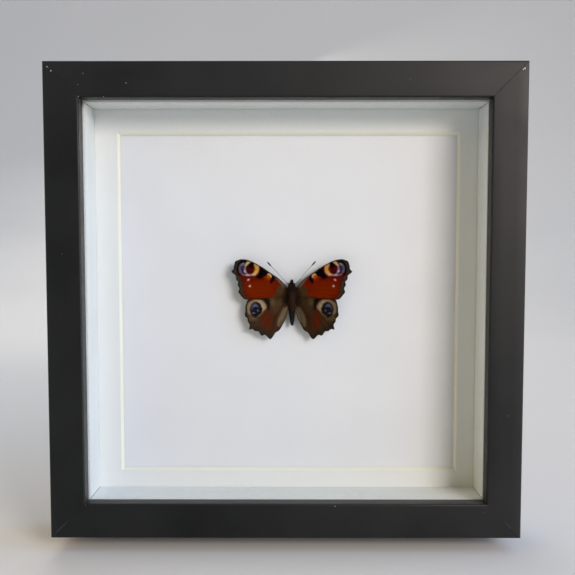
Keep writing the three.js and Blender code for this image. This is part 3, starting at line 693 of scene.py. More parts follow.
def forewing_colours(x, y, out):
    """Upper side of a forewing; out is the distance to the outer edge."""
    wx = x + 0.14 * ripple(x, y, 2.4, 1)
    wy = y + 0.14 * ripple(x, y, 2.4, 2)
    c = painted(np.tile(RUST, (len(x), 1)), wx, wy, FORE_GROUND)
    c = paint(c, RUST_DEEP, out - 4.2, 1.2, 0.45)
    c = paint(c, BASE_BROWN, (wx + 0.8 * wy - 9.2 + 0.5 * ripple(x, y, 3, 5)) * 0.78, 1.9, 0.95)
    c = painted(c, wx, wy, FORE_BASE)
    c = paint(c, MARGIN_DARK, wy + 1.2 + 0.04 * (wx - 10), 0.5, 0.8)
    wave = 0.2 * ripple(x, y, 3, 4)
    c = paint(c, MARGIN_OLIVE, out - 2.9 + 0.8 * smoothstep(-y, -4, 2) + wave, 0.8, 0.95)
    c = paint(c, MARGIN, np.abs(out - 1.5 + wave) - 0.4, 0.5, 0.8)
    c = paint(c, MARGIN_DARK, out - 0.75 + wave, 0.4, 0.9)
    c = painted(c, wx, wy, FORE_EYESPOT + FORE_COSTA)
    bars = np.sin((wx * 0.78 + wy * 0.62) * TURN / 1.15) * 0.5 - 0.15
    near = stroke(wx, wy, COSTA_LINE, [0.6, 0.5, 0.38, 0.3, 0.3, 0.2])
    c = paint(c, MARGIN_DARK, near - 0.1, 0.15, 0.75)
    c = paint(c, BLACK, np.maximum(near, -bars), 0.15, 0.6)
    return paint(c, CREAM * 0.6, np.maximum(near + 0.12, bars + 0.35), 0.12, 0.5)


def hindwing_colours(x, y, out, fold):
    """Upper side of a hindwing; out is the distance to the outer edge, fold the pale hair streaks of its
    inner fold, partly painted highlight.
    """
    wx = x + 0.16 * ripple(x, y, 2.6, 11)
    wy = y + 0.16 * ripple(x, y, 2.6, 12)
    c = painted(np.tile(HIND_BROWN, (len(x), 1)), wx, wy, HIND_GROUND)
    c = paint(c, HIND_DARK, out - 3.0 + 0.3 * ripple(x, y, 3, 13), 1.0, 0.85)
    c = painted(c, wx, wy, HIND_EYESPOT)
    c = paint(c, MARGIN_OLIVE, out - 1.0 + 0.15 * ripple(x, y, 3, 15), 0.35, 0.9)
    c = paint(c, HIND_EDGE, out - 0.55, 0.3, 0.9)
    c = paint(c, FOLD_EDGE, wx - 5.3 + 0.13 * (wy + 20), 1.2, 0.75)
    # Pale hair streaks on the inner fold, partly a painted highlight along the fold
    streak = 0.68 + 0.32 * np.sin(5.5 * (wx - 3.7) + 2.2 * (wy + 6.6) + ripple(x, y, 5, 14))
    for line, halves, strength in fold:
        c = paint(c, FOLD, stroke(wx, wy, line, halves), 0.9, strength * streak[:, None])
    return paint(c, HIND_BROWN * 0.7, wy - 2.2 + 0.1 * wx, 0.8, 0.3)


def underside_colours(x, y):
    """Underside of every wing: near black with fine bark-like lines."""
    lines = np.sin(14 * y + 3 * x + 4 * ripple(x, y, 4, 21)) * 0.5 + 0.5
    shade = 0.55 + 0.5 * lines + 0.25 * ripple(x, y, 6, 22)
    return MARGIN_DARK * np.clip(shade, 0.25, 1.4)[:, None]


# Wings

def wing_plan(wing):
    """Grid of a right wing's plan points, and each vein's column and the place where it starts."""
    rows = WING_ROWS + 1
    root, cell = np.array(wing["root"]), np.array(wing["cell"])

    def guide(root_share, cell_share, edge):
        return smooth_path([between(*root, root_share), between(*cell, cell_share), edge], rows)

    guides = [smooth_path([root[0], *wing["costa"]], rows)]
    crests = []
    for index, (at_root, at_cell, begin, tip, notch) in enumerate(wing["veins"]):
        crests.append((len(guides) * STEPS_TO_NOTCH, begin))
        guides.append(guide(at_root, at_cell, tip))
        if notch:
            after = wing["veins"][index + 1]
            guides.append(guide((at_root + after[0]) / 2, (at_cell + after[1]) / 2, notch))
    guides.append(smooth_path([root[1], *wing["inner"]], rows))
    return np.stack([curve(row, STEPS_TO_NOTCH) for row in np.stack(guides, axis=1)]), crests


def vein_height(plan, crests):
    """Height of the raised veins over the membrane, from 0 to 1, and of the pleats between them."""
    along = np.linspace(0, 1, plan.shape[0])[:, None]
    veins = np.exp(-(np.linalg.norm(plan - plan[:, :1], axis=2) / VEIN_WIDTH) ** 2)
    for column, begin in crests:
        gap = np.linalg.norm(plan - plan[:, column:column + 1], axis=2)
        ridge = np.exp(-(gap / (VEIN_WIDTH * (1.25 - 0.6 * along))) ** 2)
        veins = np.maximum(veins, ridge * smoothstep(along, begin - 0.04, begin + 0.03))
    forked = [(column, begin) for column, begin in crests if begin > 0]
    bow = 0.012 * np.cos(np.linspace(-2, 2, plan.shape[1]))[None]
    cross = np.exp(-((along - np.mean([begin for _, begin in forked[:3]]) - bow) / 0.006) ** 2)
    cross[:, :forked[0][0]] = 0
    cross[:, forked[-1][0] + 1:] = 0
    stops = [0, *[column for column, _ in crests], plan.shape[1] - 1]
    pleat = np.zeros(plan.shape[1])
    for a, b in zip(stops, stops[1:]):
        pleat[a:b + 1] = np.sin(np.linspace(0, np.pi, b - a + 1)) ** 2
    return np.maximum(veins, 0.7 * cross), pleat[None] * smoothstep(along, 0.35, 0.8)


def read(grid, row, column):
    """Values of a grid at fractional rows and columns."""
    r = np.clip(row.astype(int), 0, grid.shape[0] - 2)
    c = np.clip(column.astype(int), 0, grid.shape[1] - 2)
    fr, fc = row - r, column - c
    if grid.ndim == 3:
        fr, fc = fr[:, None], fc[:, None]
    top = grid[r, c] * (1 - fc) + grid[r, c + 1] * fc
    low = grid[r + 1, c] * (1 - fc) + grid[r + 1, c + 1] * fc
    return top * (1 - fr) + low * fr


class Wing:
    """One wing: grids of its upper surface, its distance to the outer edge, and its leans and normals."""

    def __init__(self, kind, name):
        self.kind, self.name, self.mirror = kind, name, np.array([SIDES[name], 1, 1])
        wing = WINGS[kind]
        self.plan, crests = wing_plan(wing)
        self.veins, pleats = vein_height(self.plan, crests)
        self.rows, self.across = self.plan.shape[:2]
        x, y = self.plan[..., 0], self.plan[..., 1]
        level = wing["level"] + wing["rise"] * (np.maximum(x, 0) / wing["reach"]) ** 1.3
        wave = 0.14 * ripple(x, y, 17, wing["seeds"][name]) * smoothstep(x, 4, 14)
        self.level = level + wave - PLEAT * pleats
        self.lengths = np.linalg.norm(np.diff(self.plan, axis=0), axis=2).sum(0)
        self.out = (1 - np.linspace(0, 1, self.rows))[:, None] * self.lengths[None]
        self.points = np.dstack([x, y, self.level + VEIN_RISE * self.veins])
        down, over = np.gradient(self.points, axis=(0, 1))
        self.lie = unit(down)
        normal = np.cross(down, over)
        self.normals = unit(normal * np.sign(normal[..., 2:]))

    def colours(self, x, y, out):
        """Colours of the upper side, with this side's painted light and shade."""
        if self.kind == "forewing":
            tint = forewing_colours(x, y, out)
        else:
            tint = hindwing_colours(x, y, out, FOLD_STREAKS[self.name])
        return tint * np.array(SIDE_LIGHT_SHADE[self.kind][self.name])

    def skin(self, row_at, column_at, draw, stray, lift):
        """What blades stand on at fractional rows and columns, with its plan place and edge distance."""
        roots, lie, normal, out = (read(grid, row_at, column_at)
                                   for grid in (self.points, self.lie, self.normals, self.out))
        lie = unit(lie + draw.normal(0, stray, (len(roots), 3)) * [1, 1, lift])
        patches = bake_place(column_at / self.across, row_at / self.rows)
        base = roots * self.mirror, lie * self.mirror, unit(normal) * self.mirror, patches
        return base, roots[:, 0], roots[:, 1], out


def make_skin(wing):
    """Thin membrane with raised veins on both faces."""
    rows, across = wing.rows, wing.across
    top = wing.points.reshape(-1, 3)
    under = np.dstack([wing.plan, wing.level - MEMBRANE - 0.06 * wing.veins]).reshape(-1, 3)
    x, y = top[:, 0], top[:, 1]
    upper = wing.colours(x, y, wing.out.ravel()) * (1 - 0.3 * wing.veins.ravel()[:, None])
    face = grid_faces(rows, across)
    rim = np.concatenate([np.arange(across), np.arange(1, rows) * across + across - 1,
                          (rows - 1) * across + np.arange(across - 2, -1, -1),
                          np.arange(rows - 2, 0, -1) * across])
    after = np.roll(rim, -1)
    faces = [face, face[:, ::-1] + len(top), columns(rim, rim + len(top), after + len(top), after)]
    if wing.name == "right":
        faces = [group[:, ::-1] for group in faces]
    solid = np.vstack([top, under]) * wing.mirror, faces
    piece(f"{wing.kind}_skin_{wing.name}", on_card, solid, "membrane", wing.kind, f"{wing.kind}_{wing.name}",
          colours=np.vstack([upper, underside_colours(x, y)]))


def bake_place(u, v):
    """Place on the bake map, clear of its edges."""
    return 0.03 + 0.94 * columns(u, v)


def blades(base, tint, length, width, shape, lift, bend):
    """Flat blades, as wide as shape says at each station; base is roots, leans, normals and bake places."""
    roots, lie, normal, patches = base
    across = unit(np.cross(normal, lie))
    length, width = (np.broadcast_to(measure, len(roots))[:, None] for measure in (length, width))
    points, places = [], []
    for step, share in enumerate(shape):
        t = step / (len(shape) - 1)
        centre = roots + lie * (length * t) + normal * (length * (lift * t + bend * t * t))
        for side in ((-1, 1) if share else (0,)):
            points.append(centre + across * (side * share / 2 * width))
            places.append(patches + PATCH_HALF * np.array([side, 2 * t - 1]))
    per = len(points)
    first = np.arange(len(roots))[:, None] * per
    faces = [first + [step, step + 1, step + 3, step + 2] for step in range(0, per - 3, 2)]
    if per % 2:
        faces.append(first + [per - 3, per - 2, per - 1])
    flat = [np.stack(part, 1).reshape(-1, part[0].shape[1]) for part in (points, places)]
    return flat[0], faces, flat[1], np.repeat(tint, per, axis=0)


def grown(draw, base, tint, tones, length, lengths, widths, *form):
    """Blades that vary in tone, length and width within ranges."""
    count = len(tint)
    tint = tint * draw.uniform(*tones, count)[:, None]
    length = length * draw.uniform(*lengths, count)
    return blades(base, tint, length, draw.uniform(*widths, count), *form)


def coat(name, look, slot, tufts):
    """One coat piece from several sets of blades."""
    points, faces, patches, tints = zip(*tufts)
    piece(name, on_card, joined(list(zip(points, faces))), look, slot, colours=np.vstack(tints),
          patches=np.vstack(patches))


def make_scales(wing, draw):
    """Scales in overlapping rows, each of one colour, with a fringe along the outer edge."""
    count_rows = int(np.median(wing.lengths) / SCALE_ROW)
    row_at, column_at = [], []
    for index in range(count_rows):
        row = (index + 0.3) / count_rows * (wing.rows - 1)
        run = run_along(wing.plan[int(row)])
        count = max(4, int(run[-1] / SCALE_GAP))
        at = (np.arange(count) + 0.5 * (index % 2) + draw.uniform(-0.25, 0.25, count)) / count * run[-1]
        column_at.append(np.interp(at, run, np.arange(wing.across)))
        row_at.append(row + draw.uniform(-0.3, 0.3, count))
    row_at, column_at = np.concatenate(row_at), np.concatenate(column_at)
    keep = (row_at > 0) & (row_at < wing.rows - 1.2)
    base, x, y, out = wing.skin(row_at[keep], column_at[keep], draw, 0.07, 0)
    shift = draw.normal(0, 0.09, (len(x), 2)).T
    scales = grown(draw, base, wing.colours(x + shift[0], y + shift[1], out), (0.82, 1.18), 1, (0.3, 0.38),
                   (0.17, 0.22), SCALE_SHAPE, 0.17, -0.05)
    coat(f"{wing.kind}_scales_{wing.name}", "scales", wing.kind, [scales, fringe(wing, draw)])


def fringe(wing, draw):
    """Long narrow scales standing out from the outer edge, paler in the notches."""
    run = run_along(wing.plan[-1])
    count = int(run[-1] / FRINGE_GAP)
    column_at = np.interp(np.sort(draw.uniform(0, run[-1], count)), run, np.arange(wing.across))
    base, *_ = wing.skin(np.full(count, wing.rows - 1.6), column_at, draw, 0.1, 0.3)
    notch = np.cos(column_at / STEPS_TO_NOTCH * np.pi) * 0.5 + 0.5
    return grown(draw, base, FRINGE * (0.7 + 2.0 * notch ** 2)[:, None], (0.7, 1.3), 0.5 - 0.2 * notch,
                 (0.75, 1.15), (0.07, 0.11), FRINGE_SHAPE, 0.03, -0.06)


def hairs(wing, draw, spine, halves, count, length, colour, lift=0.25, share=0.6):
    """Hairs about a line of plan points, with a half-width at each; they take a share of the colour."""
    line = resample(np.column_stack([spine, halves]), 200)
    pick = draw.integers(0, len(line), count)
    at = line[pick, :2] + draw.normal(0, 0.5, (count, 2)) * line[pick, 2:]
    coarse = wing.plan[::3, ::3]
    nearest = np.concatenate([((part[:, None] - coarse.reshape(-1, 2)) ** 2).sum(2).argmin(1)
                              for part in np.array_split(at, max(1, count // 400))])
    row_at = np.clip((nearest // coarse.shape[1]) * 3.0 + draw.uniform(0, 2, count), 0, wing.rows - 1.5)
    column_at = np.clip((nearest % coarse.shape[1]) * 3.0 + draw.uniform(0, 2, count), 0, wing.across - 1.01)
    base, x, y, out = wing.skin(row_at, column_at, draw, 0.16, 0.2)
    return grown(draw, base, between(wing.colours(x, y, out), colour, share), (0.5, 1.6), length, (0.6, 1.15),
                 (0.045, 0.075), HAIR_SHAPE, lift, -lift * 0.8)


def make_wings():
    for name, side in SIDES.items():
        fore, hind = Wing("forewing", name), Wing("hindwing", name)
        draw = np.random.default_rng(100 + side)
        make_skin(fore)
        make_skin(hind)
        make_scales(fore, draw)
        make_scales(hind, draw)
        # Painted light and shade: the wing hair is lightened on the left and darkened on the right
        olive, base = FUR_OLIVE * SIDE_LIGHT_SHADE["hair"][name], FUR_BASE * SIDE_LIGHT_SHADE["hair"][name]
        coat(f"wing_hair_{name}", "fur", "body", [hairs(wing, draw, *measures) for wing, *measures in [
            (fore, [(2.4, 1.8), (4.2, 2.4), (6.4, 3.0)], [1.6, 2.0, 1.6], 2600, 1.5, olive),
            (fore, [(1.8, 3.2), (2.6, 1.2), (3.2, -0.3)], [0.8, 1.1, 0.9], 900, 2.1, base, 0.3, 0.7),
            (hind, [(2.2, -1.2), (2.9, -3.0), (2.9, -5.0)], [0.8, 1.1, 0.7], 900, 2.1, base, 0.3, 0.7),
            (hind, [(3.2, -6.0), (4.6, -9.5), (6.2, -13.3), (7.0, -16.0)], [0.6, 1.1, 1.3, 0.6], 3000, 1.9,
             FOLD, 0.2, 0.25),
            (hind, [(3.6, -2.2), (7.5, -4.6), (9.5, -8.5)], [1.6, 2.2, 1.6], 2600, 1.6, olive, 0.16, 0.45),
        ]])


# Body

def body_rings():
    """Rings of the body's skin from head to tail, and each ring's place along the body."""
    y, across, up, z = smooth_path(BODY, BODY_STEPS).T
    share = np.clip((ABDOMEN_START - y) / (ABDOMEN_START - ABDOMEN_END), 0, 1)
    ring = share * ABDOMEN_RINGS
    groove = 0.09 * np.exp(-((ring - np.round(ring)) / 0.07) ** 2)
    bulge = 0.05 * np.sin(np.pi * (ring % 1))
    size = 1 + np.where(share > 0, bulge - groove, 0) / np.maximum(across, 0.3)
    centres = columns(share * TAIL_DRIFT, y, z)
    return oval_rings(centres, columns(across * size, 0, 0), columns(0, 0, up * size), BODY_SIDES), y


def body_colours(y, angle):
    """Colour round the body: dark streaked thorax with a brown middle, reddish waist, grey-black abdomen."""
    top = np.clip(np.sin(angle), 0, 1)
    middle = np.exp(-((angle - 1.3) / 0.38) ** 2)
    streak = np.clip(ripple(angle * 3.0, y * 0.35, 1.6, 41), -1, 1)
    light = 0.14 + 0.25 * top + (0.6 * middle + 0.25 * streak) * smoothstep(-y, -5, 0)
    thorax = between(FUR_DARK, FUR_LIGHT, np.clip(light, 0, 1)[:, None])
    waist = smoothstep(-y, 0.5, 3.5) * (1 - smoothstep(-y, 6, 9)) * (0.3 + 0.7 * top)
    thorax = between(thorax, WAIST_BROWN, 0.6 * waist[:, None])
    pale = 1 + 0.35 * np.clip(streak, 0, 1)[:, None]
    return between(thorax, ABDOMEN_DARK * pale, smoothstep(-y, 6.5, 10.0)[:, None])


def make_body():
    rings, y = body_rings()
    angle = np.linspace(0, TURN, BODY_SIDES, endpoint=False)
    tint = body_colours(np.repeat(y, BODY_SIDES), np.tile(angle, BODY_STEPS)) * 0.6
    piece("body_skin", on_card, loft(rings), "cuticle", "body", "head", "thorax", "abdomen",
          colours=np.vstack([tint, tint[:1], tint[-1:]]))
    make_fur(rings, y, angle)


# Fur on the body: front and rear end, count, length, lift and ruffle
FUR_REGIONS = {
    "head_fur": (7.0, 4.9, 3200, 0.95, 0.5, 0.3),
    "thorax_fur": (4.9, -7.4, 19000, 2.4, 0.46, 0.32),
    "abdomen_fur": (-5.0, -17.0, 8000, 1.1, 0.2, 0.12),
}


def make_fur(rings, y, angle):
    """Fur swept back over the body, shorter on its sides and towards the tail."""
    normals = unit(np.cross(np.gradient(rings, axis=1), np.gradient(rings, axis=0)))
    normals *= np.sign((normals * (rings - rings.mean(1, keepdims=True))).sum(2, keepdims=True))
    back = unit(np.gradient(rings, axis=0))
    draw = np.random.default_rng(7)
    for name, (high, low, count, length, lift, ruffle) in FUR_REGIONS.items():
        rows = np.flatnonzero((y <= high) & (y >= low))
        girth = np.linalg.norm(np.diff(rings[rows], axis=1), axis=2).sum(1)
        row = draw.choice(rows, count, p=girth / girth.sum())
        column = draw.integers(0, BODY_SIDES, count)
        shift = draw.uniform(0, 1, (count, 1))
        roots = rings[row, column] * (1 - shift) + rings[row, (column + 1) % BODY_SIDES] * shift
        lie = unit(back[row, column] + draw.normal(0, ruffle, (count, 3)))
        base = roots, lie, normals[row, column], bake_place(angle[column] / 6.3, (8 - roots[:, 1]) / 26)
        low_down = smoothstep(-roots[:, 2], -3.6, -2.6)
        far_back = smoothstep(-roots[:, 1], 4.5, 8)
        trimmed = length * (1 - 0.45 * low_down) * (1 - 0.35 * far_back)
        fur = grown(draw, base, body_colours(roots[:, 1], angle[column]), (0.6, 1.5), trimmed, (0.55, 1.2),
                    (0.05, 0.085), HAIR_SHAPE, lift, -lift * 0.75)
        coat(name, "fur", "body", [fur])


def make_eyes():
    turn = np.linspace(0.02, np.pi - 0.02, 26)
    for name, side in SIDES.items():
        centres = columns(side * 1.3 + side * 0.72 * np.cos(turn), 5.95, 5.5)
        along, tall = columns(0, 0.88 * np.sin(turn), 0), columns(0, 0, 1.02 * np.sin(turn))
        ball = loft(oval_rings(centres, along, tall, 40))
        piece(f"eye_ball_{name}", on_card, ball, "eye", "eye", f"eye_{name}")


def make_palps():
    """Tapered palps with short hair all round."""
    draw = np.random.default_rng(8)
    steps, count = 24, 900
    t = np.linspace(0, 1, steps)
    taper = 1 - 0.6 * t ** 2.6
    for name, side in SIDES.items():
        path = smooth_path([(side * 0.5, 6.6, 5.0), (side * 0.46, 7.5, 5.35), (side * 0.4, 8.2, 5.8),
                            (side * 0.37, 8.6, 6.1)], steps)
        piece(f"palp_core_{name}", on_card, tube(path, 0.42 * taper, 14), "cuticle", "body", f"palp_{name}",
              colours=FUR_DARK * 0.8)
        at = draw.integers(0, steps - 1, count)
        turn = draw.uniform(0, TURN, count)
        normal = columns(np.cos(turn), 0, np.sin(turn))
        roots = path[at] + normal * (0.4 * taper[at])[:, None]
        lie = unit(np.gradient(path, axis=0)[at] * 8 + draw.normal(0, 0.2, (count, 3)))
        length = draw.uniform(0.3, 0.65, count)
        tint = FUR_LIGHT * draw.uniform(0.4, 1.3, count)[:, None]
        base = roots, lie, normal, bake_place(turn / 6.3, t[at])
        coat(f"palp_fur_{name}", "fur", "body", [blades(base, tint, length, 0.05, HAIR_SHAPE, 0.35, -0.2)])


# Antennae: the right one bends a little inwards at its tip
ANTENNAE = {
    "left": [(-0.7, 5.5, 7.0), (-0.9, 5.9, 7.6), (-2.5, 6.9, 8.15), (-7.6, 12.4, 8.5), (-13.6, 18.7, 8.1)],
    "right": [(0.7, 5.5, 7.0), (0.9, 5.9, 7.6), (2.5, 6.9, 8.15), (7.4, 12.55, 8.5), (13.2, 19.0, 8.1)],
}
ANTENNA_RINGS = 34


def make_antennae():
    """Ringed shafts with a club at the end, paler between the rings and at the tip."""
    steps, sides = 300, 16
    t = np.linspace(0, 1, steps)
    rings = 0.5 + 0.5 * np.cos(t * TURN * ANTENNA_RINGS)
    club = 0.27 * smoothstep(t, 0.8, 0.88) * (1 - 0.35 * smoothstep(t, 0.96, 1))
    radius = (0.105 + club) * (1 - 0.12 * rings * (t < 0.85)) * (1 - smoothstep(t, 0.985, 1.0) * 0.8)
    pale = rings ** 4 * 0.8 * (1 - smoothstep(t, 0.8, 0.86)) + 0.6 * smoothstep(t, 0.97, 1)
    line = between(FUR_DARK * 0.7, CREAM * 0.5, pale[:, None])
    tint = np.vstack([np.repeat(line, sides, axis=0), line[:1], line[-1:]])
    for name, places in ANTENNAE.items():
        shaft = tube(smooth_path(places, steps), radius, sides)
        piece(f"antenna_shaft_{name}", on_card, shaft, "cuticle", "limb", f"antenna_{name}", colours=tint)


def make_proboscis():
    """Coiled tongue under the head, ribbed along its length."""
    t = np.linspace(0, 1, 220)
    turn = t * TURN * 1.9 - 0.6
    radius = 1.2 - 0.8 * t
    y = 6.95 + radius * np.sin(turn) * 0.95
    z = 2.85 + radius * np.cos(turn)
    root = smooth_path([(0, 6.5, 4.6), (0, y[0], z[0])], 8)[:-1]
    path = np.vstack([root, columns(0.12 * t, y, z)])
    along = np.linspace(0, 1, len(path))
    coil = tube(path, (0.21 - 0.1 * along) * (1 + 0.06 * np.cos(along * TURN * 60)), 12)
    piece("proboscis_coil", on_card, coil, "cuticle", "limb", "proboscis", colours=FUR_LIGHT * 0.5)


# Legs: place along the thorax, size and sweep to the back
LEGS = {"front": (2.9, 0.55, 0.6), "middle": (0.9, 1.0, 0.75), "hind": (-1.9, 1.0, 1.0)}
LEG_HALVES = (0.34, 0.22, 0.15, 0.09)
SPINES = 14


def make_legs():
    """Legs folded under the thorax: thigh, shin and foot as tapered joints with spines."""
    draw = np.random.default_rng(9)
    t = np.linspace(0, 1, 12)
    for name, side in SIDES.items():
        for which, (y, size, back) in LEGS.items():
            hip = np.array([side * 1.7, y, 3.9])
            knee = np.array([side * (2.0 + 2.4 * size), y + 0.6 * size, 2.7])
            ankle = np.array([side * (2.0 + 1.3 * size), y - 1.1 * size * back, 1.3])
            toe = np.array([side * (2.0 + 1.7 * size), y - 2.6 * size * back, 0.62])
            joints, spines = [], []
            for a, b, thick, thin in zip((hip, knee, ankle), (knee, ankle, toe), LEG_HALVES, LEG_HALVES[1:]):
                path = between(a, b, t[:, None]) + np.outer(np.sin(np.pi * t) * 0.06, Z)
                joints.append(tube(path, between(thick, thin, t) - 0.03 * (t < 0.05), 12))
            for _ in range(SPINES):
                place = draw.uniform(0.1, 0.95)
                a, b = (knee, ankle) if draw.uniform() < 0.6 else (ankle, toe)
                root = between(a, b, place)
                point = root + unit(draw.normal(0, 1, 3) + unit(b - a)) * 0.32
                spines.append(tube(np.linspace(root, point, 3), [0.035, 0.02, 0.005], 5))
            counts = [sum(len(points) for points, _ in part) for part in (joints, spines)]
            tint = np.repeat([FUR_LIGHT * 0.6, FUR_DARK * 0.5], counts, axis=0)
            piece(f"leg_joints_{which}_{name}", on_card, joined(joints + spines), "cuticle", "limb",
                  f"leg_{which}_{name}", colours=tint)


SPACER_PROFILE = [(0.02, 0.32), (1.38, 0.32), (1.48, 0.42), (1.5, 0.6), (1.46, 1.1), (1.5, 1.6),
                  (1.47, 1.82), (1.36, 1.9), (0.02, 1.9)]


def make_spacer():
    """Foam disc that holds the body off the card."""
    disc = turned(SPACER_PROFILE, np.array([0, 0.2, 0]), X, Y, Z, 48)
    piece("spacer_disc", on_card, disc, "foam", "spacer", "spacer")


# Frame

def rail_outline():
    """Rail outline as (inward, depth) points, each with the look after it: 0 lacquer, 1 raw wood, 2 lip
    lacquer lightened as a painted reflection.
    """
    wall = FACE_WIDTH - RABBET
    r, bevel = EDGE_ROUND, EDGE_BEVEL

    def corner(across, start):
        angle = np.radians(np.linspace(start, start + 90, 7))
        return [(across - r * np.cos(a), r - r * np.sin(a)) for a in angle]

    black = [*corner(r, 0), (6.0, 0.0), (12.0, 0.0), *corner(FACE_WIDTH - r, 90), (FACE_WIDTH, 4.0),
             (FACE_WIDTH, LIP_DEPTH - bevel), (FACE_WIDTH - bevel, LIP_DEPTH)]
    raw = [(wall, LIP_DEPTH), (wall, 20.0), (wall, 36.0), (wall, FRAME_DEPTH - bevel),
           (wall - bevel, FRAME_DEPTH)]
    rear = [(bevel, FRAME_DEPTH), (0.0, FRAME_DEPTH - bevel), (0.0, 30.0), (0.0, 15.0)]
    kinds = [0] * (len(black) - 4) + [2] * 3 + [1] * (len(raw) + 1) + [0] * len(rear)
    return np.array(black + raw + rear), np.array(kinds)


def rail():
    """A mitred rail along the bottom of the frame, with a fine groove at each mitre."""
    outline, kinds = rail_outline()
    sides = len(outline)
    run = unit(np.roll(outline, -1, axis=0) - np.roll(outline, 1, axis=0))
    slim = outline + columns(-run[:, 1], run[:, 0]) * 0.09
    rings = []
    for place in (-1, -0.997, -0.6, -0.2, 0.2, 0.6, 0.997, 1):
        end = abs(place) == 1
        shape = slim if end else outline
        reach = MIDDLE - shape[:, 0] - 0.02
        near = reach - 0.14
        along = np.sign(place) * (reach if end else near) if abs(place) > 0.9 else place * near
        rings.append(columns(along, shape[:, 1], shape[:, 0]))
    ring = np.arange(sides)
    caps = [ring[None, ::-1], ring[None] + (len(rings) - 1) * sides]
    faces = [grid_faces(len(rings), sides, closed=True), *caps]
    return np.vstack(rings), faces, np.concatenate([np.tile(kinds, len(rings) - 1), [1, 1]])


def make_frame():
    points, faces, kinds = rail()
    x, z = points[:, 0], points[:, 2] - MIDDLE
    for name, c, s in (("bottom", 1, 0), ("right", 0, 1), ("top", -1, 0), ("left", 0, -1)):
        spun = columns(x * c - z * s, points[:, 1], x * s + z * c + MIDDLE)
        made = piece(f"rail_{name}", in_frame, (spun, faces), "lacquer raw_edge lip", "frame",
                     f"frame_{name}", kinds=kinds)
        made.data.set_sharp_from_angle(angle=math.radians(38))


# Marks on the frame's face, by x from the middle and height: lighter grey lines with half-widths, and chips
# with radii
MITRE_HAIRLINES = [
    ((-123.6, 1.4), (-115.4, 9.6), 0.17), ((115.8, 9.3), (119.7, 5.5), 0.12),
    ((118.0, 7.4), (122.4, 3.0), 0.06), ((-123.4, 248.2), (-119.6, 244.4), 0.06),
    ((119.0, 243.9), (123.4, 248.4), 0.05),
]
CHIPS = [
    (-122.2, 246.9, 0.3), (-120.3, 244.8, 0.34), (-103.8, 243.6, 0.17), (-106.6, 237.9, 0.13),
    (-81.8, 238.7, 0.2), (26.2, 17.4, 0.2), (-106.3, 231.8, 0.2), (-93.4, 231.8, 0.18),
    (-106.2, 18.1, 0.12), (-119.4, 5.6, 0.12), (104.9, 14.0, 0.1), (64.0, 240.6, 0.09),
    (122.5, 245.95, 0.42), (121.7, 245.45, 0.3), (-116.4, 151.0, 0.1), (117.2, 66.0, 0.12),
]
CHIP_RINGS = ((0.5, -0.02), (0.85, -0.012), (1.0, 0.004), (0.8, 0.03))
MITRE_HAIRLINE_HEIGHT = 0.03


def make_wear():
    """Lighter grey hairlines along the mitres, and small chips where the lacquer has come off."""
    hairlines = []
    t = np.linspace(0, 1, 40)
    for start, end, half in MITRE_HAIRLINES:
        path = columns(between(start[0], end[0], t), 0.005, between(start[1], end[1], t))
        path[:, [0, 2]] += 0.04 * columns(ripple(t * 9, t, 2.0, 52), ripple(t * 9, t, 2.0, 53))
        fade = np.sin(np.pi * (0.02 + 0.96 * t)) ** 0.4
        width = half * (0.55 + 0.45 * np.abs(ripple(t * 12, t, 1.5, 54))) * fade
        hairlines.append(tube(path, MITRE_HAIRLINE_HEIGHT, 8, (width / MITRE_HAIRLINE_HEIGHT)[:, None]))
    piece("mitre_hairlines", in_frame, joined(hairlines), "mitre_hairline", "frame")
    draw = np.random.default_rng(51)
    turn = np.linspace(0, TURN, 14, endpoint=False)
    chips = []
    for x, height, radius in CHIPS:
        ragged = radius * (1 + 0.3 * np.sin(2 * turn + draw.uniform(0, 6)) + draw.uniform(-0.15, 0.15, 14))
        across, up = ragged * np.cos(turn), ragged * np.sin(turn)
        chips.append(loft(np.stack([columns(x + across * size, depth, height + up * size)
                                    for size, depth in CHIP_RINGS])))
    piece("lacquer_chips", in_frame, joined(chips), "chip", "frame")


def box_in_mm(name):
    """Lowest and highest corner of a node, in millimetres."""
    return [np.array(corner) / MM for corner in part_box(name)]


def make_liner_seam_shadows():
    """Dark hairline where the liner walls meet in each corner: the joint, darkened further as a painted
    shadow in the crease.
    """
    low, high = box_in_mm("liner_left")
    t = np.linspace(0, 1, 24)
    seams = []
    for x in (high[0], box_in_mm("liner_right")[0][0]):
        for height in (box_in_mm("liner_bottom")[1][2], box_in_mm("liner_top")[0][2]):
            path = columns(x, between(low[1] + 0.3, high[1] - 0.3, t), height)
            seams.append(tube(path, 0.13 + 0.04 * ripple(t * 8, t, 2.0, 61), 8))
    piece("liner_seam_shadows", in_metres, joined(seams), "seam", "liner")


RIVET_PROFILE = [(2.6, -0.1), (2.6, 0.3), (2.45, 0.62), (2.0, 0.9), (1.35, 1.02), (0.95, 0.95), (0.8, 0.6),
                 (0.76, 0.1)]
RIVET_SPACING = 16.5


def make_rivets():
    """Tubular rivets that hold the hangers to the board."""
    for name, along in (("top", X), ("side", Z)):
        low, high = box_in_mm(f"hanger_{name}")
        middle = (low + high) / 2
        middle[1] = high[1]
        pair = joined([turned(RIVET_PROFILE, middle + along * place, X, Z, Y, 36)
                       for place in (-RIVET_SPACING, RIVET_SPACING)])
        made = piece(f"hanger_rivets_{name}", in_metres, pair, "steel", "steel")
        made.data.set_sharp_from_angle(angle=math.radians(45))


